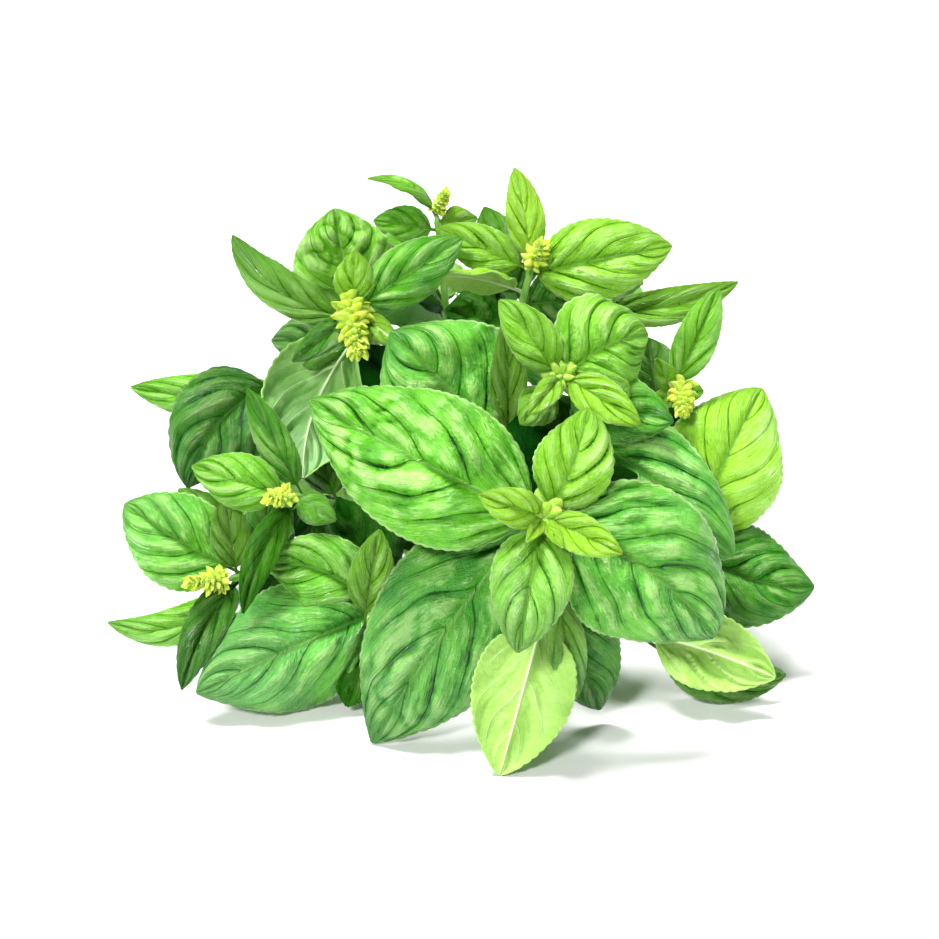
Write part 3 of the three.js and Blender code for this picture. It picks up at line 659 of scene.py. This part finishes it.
def painted(m, colour, *layers):
    """Lays tints over a colour; each layer is (where, how strongly, tint)."""
    for where, strength, tint in layers:
        amount = node(m, "ShaderNodeMath", TIMES, _0=where, _1=strength).outputs[0]
        mixed = node(m, "ShaderNodeMix", BLEND, Factor=amount, _6=colour, _7=tint)
        colour = mixed.outputs[2]
    return colour


def piled(m, *heights):
    """Adds heights up; each is (height, share)."""
    total = 0.0
    for height, share in heights:
        total = node(m, "ShaderNodeMath", TIMES_PLUS, _0=height, _1=share, _2=total).outputs[0]
    return total


def new_material(name):
    made = bpy.data.materials.new(name)
    made.use_nodes = True
    made.node_tree.nodes.clear()
    return made


def values_on(material, attribute):
    """The values kept on the mesh under this name, as one vector and one by one."""
    whole = node(material, "ShaderNodeAttribute", {"attribute_name": attribute}).outputs["Vector"]
    return whole, node(material, "ShaderNodeSeparateXYZ", Vector=whole).outputs


def finish_leafy(material, colour, through, share_through, **surface):
    """A Principled surface with light coming through it."""
    front = node(material, "ShaderNodeBsdfPrincipled", Base_Color=colour, **surface)
    back = node(material, "ShaderNodeBsdfTranslucent", Color=through)
    if "Normal" in surface:
        material.node_tree.links.new(surface["Normal"], back.inputs["Normal"])
    both = node(material, "ShaderNodeMixShader", _0=share_through,
                _1=front.outputs[0], _2=back.outputs[0])
    node(material, "ShaderNodeOutputMaterial", Surface=both.outputs[0])
    return material


print("mid green in linear light:", [round(c, 3) for c in linear("#38a610")])

# %% [markdown]
# ### Patterns of a blade
#
# Four sets of values lie on the mesh. `vein` holds the side-vein phase, the place across from
# -1 to 1 and the distance along a side vein; `blade` the place on the blade with a number of its
# own; `look` how young the leaf is, how much painted shade darkens it deep in the bunch (partly a
# darker green) and how much a painted reflection of the sky greys it; `form` how high its relief
# stands, which also places painted shade and painted highlights. Distances are in centimetres.
# Side veins lie where the phase is a whole number, and streaks and finer strokes, about 1 mm and
# 0.6 mm wide, run alongside them. The net of small veins is a cell pattern with cells of about
# 3 mm, which is their real size. Patches of about 11 mm mottle the green, and the finest grain, of
# about 0.6 mm, breaks up the highlights: on a real leaf it is finer still, and is drawn as coarse
# as it has to be to show.
#
# A mask is a Map Range node: its value, the range it comes from and the range it goes to.

# %% Masks and heights of a blade
STREAK_SCALE = (8.0, 2.0, 1.7)  # to a gap between side veins, to half a width, to a centimetre
STROKE_SCALE = (15.0, 2.4, 2.4)
PATCH_SCALE, NET_SCALE, GRAIN_SCALE = 0.9, 3.0, 16.0  # to a centimetre
NET_BEND, NET_BEND_SCALE = 0.3, 2.6  # the net's rungs are bent by this many centimetres
VEIN_HALF = 0.04  # of the gap between two side veins
RIB_HALF, RIM = (0.012, 0.045), (0.955, 0.98)  # of the blade's half width, from where to where


def blade_patterns(m):
    on_vein, vein = values_on(m, "vein")
    place_on, _ = values_on(m, "blade")
    _, look = values_on(m, "look")
    _, form = values_on(m, "form")
    to_vein = node(m, "ShaderNodeMath", {"operation": "PINGPONG"}, _0=vein[0], _1=0.5).outputs[0]
    across = node(m, "ShaderNodeMath", {"operation": "ABSOLUTE"}, _0=vein[1]).outputs[0]
    line = node(m, "ShaderNodeMapRange", SOFT, _0=to_vein,
                _1=0.0, _2=VEIN_HALF, _3=1, _4=0).outputs[0]
    inner = node(m, "ShaderNodeMapRange", SOFT, _0=across, _1=0.6, _2=1, _3=1, _4=0.1).outputs[0]
    side_vein = node(m, "ShaderNodeMath", TIMES, _0=line, _1=inner).outputs[0]
    rib = node(m, "ShaderNodeMapRange", SOFT, _0=across,
               _1=RIB_HALF[0], _2=RIB_HALF[1], _3=1, _4=0).outputs[0]
    # the margin band that gets a painted line of rim light
    rim = node(m, "ShaderNodeMapRange", SOFT, _0=across,
               _1=RIM[0], _2=RIM[1], _3=0, _4=1).outputs[0]
    lines = {}
    for name, scale, detail, rough, low in (("streaks", STREAK_SCALE, 5.0, 0.62, 0.3),
                                            ("strokes", STROKE_SCALE, 3.0, 0.6, 0.34)):
        along_veins = node(m, "ShaderNodeMapping", Vector=on_vein, Scale=scale).outputs[0]
        noisy = node(m, "ShaderNodeTexNoise", Vector=along_veins, Scale=1.0,
                     Detail=detail, Roughness=rough)
        lines[name] = node(m, "ShaderNodeMapRange", SOFT, _0=noisy.outputs[0],
                           _1=low, _2=1 - low, _3=-1, _4=1).outputs[0]
    patches = node(m, "ShaderNodeTexNoise", Vector=place_on, Scale=PATCH_SCALE,
                   Detail=3.0, Roughness=0.55)
    grain = node(m, "ShaderNodeTexNoise", Vector=place_on, Scale=GRAIN_SCALE, Detail=3.0)
    wander = node(m, "ShaderNodeTexNoise", Vector=place_on, Scale=NET_BEND_SCALE, Detail=1.0)
    bend = node(m, "ShaderNodeVectorMath", {"operation": "SCALE"},
                _0=wander.outputs["Color"], Scale=NET_BEND)
    bent = node(m, "ShaderNodeVectorMath", {"operation": "ADD"}, _0=place_on, _1=bend.outputs[0])
    cells = node(m, "ShaderNodeTexVoronoi", {"feature": "DISTANCE_TO_EDGE"},
                 Vector=bent.outputs[0], Scale=NET_SCALE)
    net = node(m, "ShaderNodeMapRange", SOFT, _0=cells.outputs[0],
               _1=0.0, _2=0.09, _3=1, _4=0).outputs[0]
    # this relief places the painted crease shade and painted crest highlights of the upper face
    relief = piled(m, (form[0], 1.0), (lines["streaks"], 0.16), (lines["strokes"], 0.22))
    return SimpleNamespace(look=look, side_vein=side_vein, rib=rib, rim=rim, net=net,
                           relief=relief, patches=patches.outputs[0], grain=grain.outputs[0],
                           **lines)


print("net of small veins: cells about", round(10 / NET_SCALE), "mm across")

# %% [markdown]
# ### Upper face, underside and margin
#
# The upper face starts as a mottled green and gets its tints in the order in which a painter
# would lay them: age, painted shade in the creases, painted highlights on the crests, a painted
# reflection that greys it with the sky, the veins, of which the side veins are darkened by
# painted shade, a painted rim light round the margin, and last the depth of the leaf in the
# bunch, mostly painted shade and partly a darker green. Leaves deep inside get a copy of the same
# finish with hardly any gloss, as painted shade that keeps the lamps and the sky from showing in
# them. The underside carries less wax: it is matt and greyish, and its veins stand out pale
# instead of lying in creases.

# %% Finishes of a blade
def upper_face(name, mirrors):
    """Thin wax over juicy green: gloss and painted highlights on the crests,
    painted shade in the creases, yellow light.
    """
    m = new_material(name)
    p = blade_patterns(m)
    young, deep, sheen = p.look
    mottled = node(m, "ShaderNodeMapRange", SOFT, _0=p.patches, _1=0.35, _2=0.65).outputs[0]
    # painted shade darkens the low parts of the relief, and painted highlights pale its crests
    painted_crease_shade = node(m, "ShaderNodeMapRange", SOFT, _0=p.relief,
                  _1=-0.85, _2=-0.15, _3=1, _4=0).outputs[0]
    painted_crest_highlight = node(m, "ShaderNodeMapRange", SOFT, _0=p.relief, _1=0.0, _2=0.75).outputs[0]
    crease_shade_colour = painted(m, linear("#065404"), (young, 1, linear("#3c9606")))
    # painted light among these tints: shade in the creases, highlights on the crests, the sky's
    # grey reflection (sheen), shade along the side veins and a rim light at the margin; the deep
    # tint is mostly painted shade inside the bunch and partly a darker green
    colour = painted(
        m, linear("#38a610"),
        (mottled, 1, linear("#68ca26")), (young, 1, linear("#b0f030")),
        (painted_crease_shade, 1, crease_shade_colour), (painted_crest_highlight, 0.55, linear("#ccf890")),
        (sheen, 1, linear("#84c07a")), (p.net, 0.12, linear("#1c7410")),
        (p.side_vein, 0.6, linear("#0e5a0a")), (p.rib, 0.4, linear("#a8dc70")),
        (p.rim, 0.65, linear("#ccf09c")), (deep, 1, linear("#064404")))
    # painted shade: light through leaves deep in the bunch is darkened too
    through = painted(m, linear("#8cd41c"), (deep, 1, linear("#145c08")))
    lift = piled(m, (p.grain, 0.3), (p.streaks, 0.4), (p.strokes, 0.25),
                 (p.side_vein, -1), (p.net, -0.2))
    bump = node(m, "ShaderNodeBump", Strength=1.0, Distance=0.0006, Height=lift)
    gloss = node(m, "ShaderNodeMapRange", SOFT, _0=p.patches,
                 _1=0.3, _2=0.7, _3=0.14, _4=0.26).outputs[0]
    return finish_leafy(m, colour, through, share_through=0.16, Roughness=gloss, IOR=1.5,
                        Specular_IOR_Level=mirrors, Normal=bump.outputs[0])


def underside():
    """Bare and matt: soft broad light, raised pale veins, and a warm glow with light behind."""
    m = new_material("fresh basil leaf, matt underside")
    p = blade_patterns(m)
    young, deep, sheen = p.look
    mottled = node(m, "ShaderNodeMapRange", SOFT, _0=p.patches, _1=0.35, _2=0.65).outputs[0]
    # the deep tint is mostly painted shade inside the bunch, partly a darker green; the sheen tint
    # is a painted grey reflection of the sky
    colour = painted(
        m, linear("#88be58"),
        (mottled, 1, linear("#a6d276")), (young, 1, linear("#b8e26c")),
        (deep, 1, linear("#3f8a3a")), (sheen, 1, linear("#8fbd94")),
        (p.net, 0.2, linear("#7db04a")), (p.side_vein, 0.5, linear("#dcecc0")),
        (p.rib, 0.6, linear("#efe8cc")))
    lift = piled(m, (p.side_vein, 1), (p.rib, 1), (p.net, 0.25))
    bump = node(m, "ShaderNodeBump", Strength=0.5, Distance=0.0004, Height=lift)
    return finish_leafy(m, colour, linear("#b4e448"), share_through=0.24, Roughness=0.5, IOR=1.42,
                        Normal=bump.outputs[0])


def margin():
    """Thinnest part: light comes through, and its pale colour paints rim light round the leaf."""
    m = new_material("fresh basil leaf, thin margin")
    _, (_, deep, _) = values_on(m, "look")
    # pale as painted rim light, darkened by painted shade deep in the bunch, partly a darker green
    colour = painted(m, linear("#b8e67e"), (deep, 1, linear("#4f9a3a")))
    return finish_leafy(m, colour, linear("#ccf47a"), share_through=0.35, Roughness=0.4)


UPPER_FACE = upper_face("fresh basil leaf, glossy upper face", mirrors=0.7)
# a shaded copy of the upper face: its gloss is cut as painted shade for leaves deep in the bunch
SHADED_FACE = upper_face("fresh basil leaf, upper face deep in the bunch", mirrors=0.08)
UNDERSIDE, MARGIN = underside(), margin()
print("blade finishes:", [m.name for m in (UPPER_FACE, SHADED_FACE, UNDERSIDE, MARGIN)])

# %% [markdown]
# ### Stalks, midribs and buds
#
# A stalk is juicy and pale, with faint streaks along it; its `blade` values are the distance
# along it and the angle round it. A midrib is paler still. Buds run from yellow-green at the foot
# to nearly yellow at the tip, with a fine down that dulls their gloss.

# %% Stalk, midrib and bud finishes
def stalk_finish():
    """Smooth juicy skin: faint streaks along it, a soft shine and some light let through."""
    m = new_material("fresh basil stalk, streaked and juicy")
    at, _ = values_on(m, "blade")
    drawn_out = node(m, "ShaderNodeMapping", Vector=at, Scale=(0.6, 9.0, 1.0)).outputs[0]
    streaks = node(m, "ShaderNodeTexNoise", Vector=drawn_out, Scale=2.0, Detail=3.0).outputs[0]
    pale = node(m, "ShaderNodeMapRange", SOFT, _0=streaks, _1=0.35, _2=0.7).outputs[0]
    colour = painted(m, linear("#6fb23a"), (pale, 1, linear("#a6d872")))
    bump = node(m, "ShaderNodeBump", Strength=0.3, Distance=0.0003, Height=streaks)
    return finish_leafy(m, colour, linear("#b8e870"), share_through=0.12, Roughness=0.42, IOR=1.42,
                        Normal=bump.outputs[0])


def rib_finish():
    """Firm and full of water: nearly white where it is thick, and evenly smooth."""
    m = new_material("fresh basil midrib, pale and smooth")
    _, (_, deep, _) = values_on(m, "look")
    # the deep tint is mostly painted shade for midribs inside the bunch, partly a darker green
    colour = painted(m, linear("#d3eab0"), (deep, 1, linear("#7dbb58")))
    return finish_leafy(m, colour, linear("#d8f0a0"), share_through=0.15, Roughness=0.4)


def bud_finish():
    """Thin tender bracts with down on them: a soft sheen at the edges and a yellow glow."""
    m = new_material("basil flower buds, downy yellow-green")
    at, _ = values_on(m, "blade")
    _, (young, _, _) = values_on(m, "look")
    spots = node(m, "ShaderNodeTexNoise", Vector=at, Scale=7.0, Detail=2.0).outputs[0]
    light = node(m, "ShaderNodeMapRange", SOFT, _0=spots, _1=0.4, _2=0.7).outputs[0]
    colour = painted(m, linear("#8fcf2c"), (young, 1, linear("#e6ee3c")),
                     (light, 0.4, linear("#f4f69a")))
    bump = node(m, "ShaderNodeBump", Strength=0.3, Distance=0.0003, Height=spots)
    return finish_leafy(m, colour, linear("#e4f23c"), share_through=0.3, Roughness=0.55,
                        Sheen_Weight=0.3, Normal=bump.outputs[0])


STALK, RIB, BUD = stalk_finish(), rib_finish(), bud_finish()
print("finishes made:", len(bpy.data.materials))

# %% [markdown]
# ## A leaf, from the flat grid
#
# The grid's own x and y are the `s` and `u` of the blade formula, so bending it is one call. A
# Solidify modifier then gives it its thickness, and the upper face, the underside and the margin
# a finish each.

# %% Make one blade and its midrib
LEAF_THICK = 0.45
SMALL_WIDE, LARGE_WIDE = 12, 27
FAR_BACK = 30  # tips further back than this are on the far side of the bunch
SHADED = 0.65  # leaves deeper than this lie inside the bunch
CROWDED = 0.4  # how much closer together the rows of faces are near both ends of a blade
RIB_AT_STALK, RIB_AT_TIP = 1.3, 0.3  # thickness of a large leaf's midrib
RIB_END = 0.97  # it runs out just before the leaf's point
RIB_SUNK = 0.8  # how far it lies under the blade, as a share of its half thickness


def grid_size(leaf):
    """Broad leaves near the viewer get the most faces, and leaves deep in the bunch the fewest."""
    if leaf.wide < SMALL_WIDE:
        return "small"
    if leaf.deep > SHADED:
        return "hidden"
    return "large" if leaf.wide >= LARGE_WIDE and leaf.tip[2] < FAR_BACK else "middling"


def thicken(obj):
    """Adds a second skin and a rim, with the finishes that follow the first in the list.

    The blade's points are then set once more, so that none of them leaves the rigid part's box.
    """
    deselect()
    obj.select_set(True)
    bpy.context.view_layer.objects.active = obj
    thick = obj.modifiers.new("thickness", "SOLIDIFY")
    thick.thickness = LEAF_THICK * MM
    thick.offset = 0
    thick.material_offset = 1
    thick.material_offset_rim = 2
    bpy.ops.object.modifier_apply(modifier=thick.name)
    set_points(obj, points_of(obj) / MM)


def make_blade(spine, seed):
    leaf = spine.leaf
    # leaves deep in the bunch get the shaded copy of the upper face, as painted shade
    face = SHADED_FACE if leaf.deep > SHADED else UPPER_FACE
    made = copy_of(GRIDS[grid_size(leaf)], face, UNDERSIDE, MARGIN)
    grid = points_of(made)
    flat_s, u = grid[:, 0] + 0.5, grid[:, 1] * -2  # minus, so that its faces look up
    s = (1 - CROWDED) * flat_s + CROWDED * (1 - np.cos(np.pi * flat_s)) / 2
    at, own = leaf_surface(spine, s, u, seed)
    set_points(made, at)
    # sheen is a painted grey reflection of the sky
    sheen = leaf.sheen * (0.25 + 0.75 * smooth(own.b, 0.2, 0.8))  # most of it near the tip
    keep_values(made, "vein", own.phase, u, own.along_vein / CM)
    keep_values(made, "blade", own.long / CM, own.wide / CM, seed * 7.3)
    keep_values(made, "look", leaf.young, leaf.deep, sheen)
    keep_values(made, "form", own.relief, 0.0, 0.0)
    thicken(made)
    return made


def tube(master, rings, centre, across, upright, half, corners=0.0):
    """Spreads a globe's rings along a curve; centre and the rest hold one row for each ring."""
    made = copy_of(master)
    ball = points_of(made)
    ring = np.rint(np.arccos(np.clip(ball[:, 2], -1, 1)) / np.pi * rings).astype(int)
    turn = np.arctan2(ball[:, 1], ball[:, 0])
    round_out = 1 + corners * np.abs(np.sin(2 * turn)) ** 2
    reach = half[ring] * round_out
    at = (centre[ring] + across[ring] * (np.cos(turn) * reach)[:, None]
          + upright[ring] * (np.sin(turn) * reach)[:, None])
    set_points(made, at)
    return made, ring, turn


def make_midrib(spine, seed):
    leaf = spine.leaf
    t = np.linspace(0, 1, RIB_RINGS + 1)
    s = t * RIB_END
    at, own = leaf_surface(spine, s, np.zeros_like(s), seed)
    along, up, out = spine.axes(s)
    size = (RIB_AT_STALK + (RIB_AT_TIP - RIB_AT_STALK) * t) / 2 * min(1, 0.35 + leaf.wide / 30)
    size[0] = size[-1] = 0
    centre = at - up * (size * RIB_SUNK)[:, None]
    made, ring, turn = tube(RIB_GLOBE, RIB_RINGS, centre, out, np.cross(out, along), size)
    made.data.materials.append(RIB)
    keep_values(made, "blade", own.long[ring] / CM, turn / CM, seed)
    keep_values(made, "look", leaf.young, leaf.deep, leaf.sheen)
    return made


print("a blade is", LEAF_THICK, "mm thick and its midrib", RIB_AT_STALK, "mm at the stalk")

# %% [markdown]
# ## A stalk, from the globe
#
# A basil stalk is square with rounded corners, and thickens a little where its leaves grow. The
# first rings close the cut end, which is flat with a rounded edge.

# %% Make one stalk
STALK_AT_CUT, STALK_AT_TIP = 4.6, 2.2
CORNERS = 0.16  # how far the corners stand out, as a share of the half width
FLAT_SIDE = 0.93  # half width at the flats, a little less because the corners stand out
NODE_SWELL, NODE_MM = 0.10, 2.5  # how much thicker a stalk is where a leaf grows, and how far
STALK_YOUNG = 0.2
CUT_RINGS = [(0.0, 0.0), (0.0, 0.8), (0.0006, 0.97), (0.003, 1.0)]  # shares of length and girth


def make_stalk(name, line, leaves):
    rest = STALK_RINGS + 1 - len(CUT_RINGS)
    bend = STALK_STRAIGHT / line.length
    t = np.concatenate([[a for a, _ in CUT_RINGS], np.linspace(bend * 0.5, 1, rest)])
    girth = np.concatenate([[g for _, g in CUT_RINGS], np.ones(rest)])
    taper = np.clip((t - bend) / (1 - bend), 0, 1)
    half = (STALK_AT_CUT + (STALK_AT_TIP - STALK_AT_CUT) * taper) / 2 * FLAT_SIDE
    for grown in leaves:
        half = half * (1 + NODE_SWELL * np.exp(-(((t - grown.t) * line.length / NODE_MM) ** 2)))
    half = half * girth
    half[-1] = 0
    along = line.along(t)
    across = square_to(np.broadcast_to(ACROSS, along.shape), along)
    made, ring, turn = tube(STALK_GLOBE, STALK_RINGS, line.at(t), across, np.cross(across, along),
                            half, CORNERS)
    made.data.materials.append(STALK)
    keep_values(made, "blade", t[ring] * line.length / CM, turn / 3, len(name))
    keep_values(made, "look", STALK_YOUNG, 0.0, 0.0)
    return made


print("stalks are", STALK_AT_CUT, "mm across at the cut and", STALK_AT_TIP, "mm at the tip")

# %% [markdown]
# ## Buds and bracts
#
# The tip of a stem carries whorls of small things: pointed bracts, and in a flowering tip buds as
# well. One bud is modelled, from a ball drawn out to a blunt point, and one bract, from a grid
# folded to a keel; both are then copied round and up.

# %% Model one bud and one bract
BUD_LONG, BUD_WIDE = 3.4, 1.7
BUD_RIDGES, RIDGE = 5, 0.12  # a bud is ribbed by its five folded petals
BRACT_LONG, BRACT_THICK = 5.2, 0.3
BRACT_FULLNESS = 1.9  # gives it a width of 2.7 mm at its fullest
BRACT_KEEL, BRACT_LEAN = 0.9, 1.1


def model_bud():
    deselect()
    bpy.ops.mesh.primitive_uv_sphere_add(segments=8, ring_count=6, radius=1)
    bud = bpy.context.object
    ball = points_of(bud)
    along = (ball[:, 2] + 1) / 2
    girth = np.sin(np.pi * np.clip(along, 0, 1) ** 0.75) ** 0.7
    turn = np.arctan2(ball[:, 1], ball[:, 0])
    ridged = 1 + RIDGE * np.cos(BUD_RIDGES * turn)
    shaped = np.stack([np.cos(turn) * girth * ridged * BUD_WIDE / 2,
                       np.sin(turn) * girth * ridged * BUD_WIDE / 2, along * BUD_LONG], axis=-1)
    bud.data.vertices.foreach_set("co", shaped.ravel())
    bpy.ops.object.shade_smooth()
    return set_aside(bud)


def model_bract():
    deselect()
    bpy.ops.mesh.primitive_grid_add(x_subdivisions=6, y_subdivisions=4, size=1)
    bract = bpy.context.object
    grid = points_of(bract)
    along, across = grid[:, 0] + 0.5, grid[:, 1] * 2
    half = BRACT_FULLNESS * np.sqrt(np.clip(along, 0, 1)) * (1 - along) ** 0.7 * 1.6
    shaped = np.stack([across * half, BRACT_KEEL * across**2 * half + BRACT_LEAN * along**2,
                       along * BRACT_LONG], axis=-1)
    bract.data.vertices.foreach_set("co", shaped.ravel())
    thick = bract.modifiers.new("thickness", "SOLIDIFY")
    thick.thickness, thick.offset = BRACT_THICK, 0
    bpy.ops.object.modifier_apply(modifier=thick.name)
    bpy.ops.object.shade_smooth()
    return set_aside(bract)


BUD_MODEL, BRACT_MODEL = model_bud(), model_bract()
print("one bud has", len(BUD_MODEL.data.polygons), "faces and one bract",
      len(BRACT_MODEL.data.polygons))


# %% Set a copy in a whorl
def set_in_whorl(master, foot, axis, turn, lean, size, young, seed):
    """A copy of master that stands on foot and leans out from axis."""
    first = unit(np.cross(axis, ACROSS))
    second = np.cross(axis, first)
    outwards = first * math.cos(turn) + second * math.sin(turn)
    along = unit(axis * math.cos(lean) + outwards * math.sin(lean))
    inwards = unit(np.cross(np.cross(along, outwards), along))
    aside = np.cross(inwards, along)
    made = copy_of(master, BUD)
    own = points_of(made) * size
    at = foot + aside * own[:, :1] + inwards * own[:, 1:2] + along * own[:, 2:]
    set_points(made, at)
    keep_values(made, "blade", own[:, 0] / CM, own[:, 2] / CM, seed)
    keep_values(made, "look", young * np.clip(own[:, 2] / (size * BUD_LONG), 0, 1), 0.0, 0.0)
    return made


print("a bud is", BUD_LONG, "mm long and a bract", BRACT_LONG, "mm")

# %% [markdown]
# ## Put the stems together
#
# All the leaves of a stem are joined to its stalk. A stem whose tip shows ends in a tuft of its
# youngest leaves, still keeled like bracts. The piece then stands for that stem's rigid node.

# %% Build every stem
TUFT_ROUND = 5
TUFT_WHORLS = [(78, 1.5), (58, 1.25), (34, 1.0)]  # each one's lean in degrees and size
TUFT_STEP, TUFT_SUNK = 0.9, 1.2  # from whorl to whorl, and of the first one into the stalk
TUFT_TURN_OFF, TUFT_LEAN_OFF = 0.25, 12  # radians and degrees by which a bract is off its place


def growing_tip(line, grown, seed):
    axis = unit(line.at(1) - line.at(0.98))
    chance = np.random.default_rng(int(seed * 100) + 7)
    pieces = []
    for level, (lean, size) in enumerate(TUFT_WHORLS):
        foot = line.at(1) + axis * (TUFT_STEP * level - TUFT_SUNK)
        for k in range(TUFT_ROUND):
            turn = 2 * math.pi * (k + 0.5 * (level % 2)) / TUFT_ROUND
            turn += chance.uniform(-TUFT_TURN_OFF, TUFT_TURN_OFF)
            tilt = math.radians(lean + chance.uniform(-TUFT_LEAN_OFF, TUFT_LEAN_OFF))
            pieces.append(set_in_whorl(BRACT_MODEL, foot, axis, turn, tilt,
                                       grown * size * chance.uniform(0.8, 1.25),
                                       chance.uniform(0, 0.35), seed + k + 5 * level))
    return pieces


def build_stem(name, sprig, seed):
    line = LINES[name]
    spines = [Spine(line, leaf) for leaf in sprig.leaves]
    blades = [make_blade(spine, seed + 0.31 * i) for i, spine in enumerate(spines)]
    ribs = [make_midrib(spine, seed + 0.31 * i) for i, spine in enumerate(spines)]
    tuft = growing_tip(line, sprig.tuft, seed) if sprig.tuft else []
    stalk = make_stalk(name, line, sprig.leaves)
    piece = join([*blades, stalk, *ribs, *tuft], f"leafy_{name}")
    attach(piece, "root")
    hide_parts(f"stem_{name}")
    return piece


stems = [build_stem(name, sprig, 1.7 * i) for i, (name, sprig) in enumerate(SPRIGS.items())]
print("stems:", len(stems), "with", sum(len(p.data.polygons) for p in stems), "faces")

# %% [markdown]
# ## Heads of buds
#
# A flowering tip is a short spike of whorls: at each level eight buds in a ring, with a bract
# between each two. The lowest whorls spread and the topmost ones stand almost upright.

# %% Build every head of buds
BUDS_ROUND, WHORL_STEP, HEAD_FOOT = 8, 2.0, 1.2  # the steps are those of full-size buds
LOW_LEAN, LEAN_LOST = 82, 64  # degrees: the lean of the lowest buds, and how much the top lose
WHOLE_HEAD = 11  # width of a head whose buds are at their full size
BUD_OFF = 0.2  # radians by which a bud is off its place
BRACT_DOWN, BRACT_ROUND, BRACT_OUT = 0.4, 0.4, 0.15  # where a bract stands, next to its bud


def build_buds(name, sprig, seed):
    (tip, wide), root = sprig.buds, LINES[name].at(1)
    axis = place(tip) - root
    tall = float(np.linalg.norm(axis))
    axis = axis / tall
    chance = np.random.default_rng(int(seed * 100))
    size = wide / WHOLE_HEAD
    levels = max(4, round((tall - 2) / (WHORL_STEP * size)))
    pieces = []
    for level in range(levels):
        share = level / (levels - 1)
        foot = root + axis * (HEAD_FOOT + share * (tall - HEAD_FOOT - BUD_LONG * size * 0.7))
        lean = math.radians(LOW_LEAN - LEAN_LOST * share)
        for k in range(BUDS_ROUND):
            turn = 2 * math.pi * (k + 0.5 * (level % 2)) / BUDS_ROUND
            turn += chance.uniform(-BUD_OFF, BUD_OFF)
            grown = size * (1 - 0.3 * share) * chance.uniform(0.85, 1.15)
            tilt = lean + chance.uniform(-BUD_OFF, BUD_OFF)
            pieces.append(set_in_whorl(BUD_MODEL, foot, axis, turn, tilt, grown,
                                       chance.uniform(0.6, 1), seed + k + 10 * level))
            pieces.append(set_in_whorl(BRACT_MODEL, foot - axis * BRACT_DOWN, axis,
                                       turn + BRACT_ROUND, tilt + BRACT_OUT,
                                       grown * chance.uniform(0.9, 1.15),
                                       chance.uniform(0.3, 0.9), seed + k + 5 * level))
    piece = join(pieces, f"budded_{name}")
    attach(piece, "root")
    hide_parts(f"buds_{name}")
    return piece


heads = [build_buds(name, s, 3.1 + i) for i, (name, s) in enumerate(SPRIGS.items()) if s.buds]
print("heads of buds:", len(heads), "with", sum(len(p.data.polygons) for p in heads), "faces")

# %% [markdown]
# ## Floor, light and camera
#
# A plain pale floor, one broad lamp high above and a little to the left, a weaker one in front
# on the left, which the glossy crests mirror, and a dim even surround. The camera stands where
# the bunch's own line of sight starts, so that what the table calls across and up is across and
# up in its view.

# %% Floor
FLOOR_METRES = 60  # so wide that its edge looks like the horizon even from low down
deselect()
bpy.ops.mesh.primitive_plane_add(size=FLOOR_METRES, location=(0, 0, 0))
floor = bpy.context.object
floor.name = "floor"
pale = new_material("matt white card")  # it takes soft shadows and mirrors nothing
surface = node(pale, "ShaderNodeBsdfPrincipled", Base_Color=linear("#f4f4f4"), Roughness=0.8)
node(pale, "ShaderNodeOutputMaterial", Surface=surface.outputs[0])
floor.data.materials.append(pale)
print("floor:", FLOOR_METRES, "m wide")

# %% Lamps and surround
SURROUND_STRENGTH = 0.22


def sun(name, spot, strength, spread):
    """A far lamp in the direction of spot, as wide in the sky as `spread` degrees."""
    deselect()
    bpy.ops.object.light_add(type="SUN", location=spot)
    made = bpy.context.object
    made.name = name
    made.data.energy = strength
    made.data.angle = math.radians(spread)
    made.rotation_euler = Vector(spot).to_track_quat("Z", "Y").to_euler()
    return made


sun("key lamp", spot=(-0.3, 0.1, 1.3), strength=6.1, spread=20)
sun("front lamp", spot=(-0.4, -1.0, 0.8), strength=2.7, spread=10)

world = bpy.data.worlds.new("bright surround")
world.use_nodes = True
background = world.node_tree.nodes["Background"]
background.inputs["Color"].default_value = (1, 1, 1, 1)
background.inputs["Strength"].default_value = SURROUND_STRENGTH
bpy.context.scene.world = world
bpy.context.scene.view_settings.view_transform = "Standard"

# %% Camera
LENS_MM, SENSOR_MM = 100, 36
NEAREST = 0.01
bpy.ops.object.camera_add(location=Vector(EYE) * MM, rotation=(math.pi / 2 - SIGHT_TILT, 0, 0))
camera = bpy.context.object
camera.data.lens, camera.data.sensor_width = LENS_MM, SENSOR_MM
camera.data.clip_start = NEAREST
bpy.context.scene.camera = camera
print("the view is", round(SENSOR_MM / LENS_MM * SIGHT_RANGE), "mm wide at the bunch's middle")
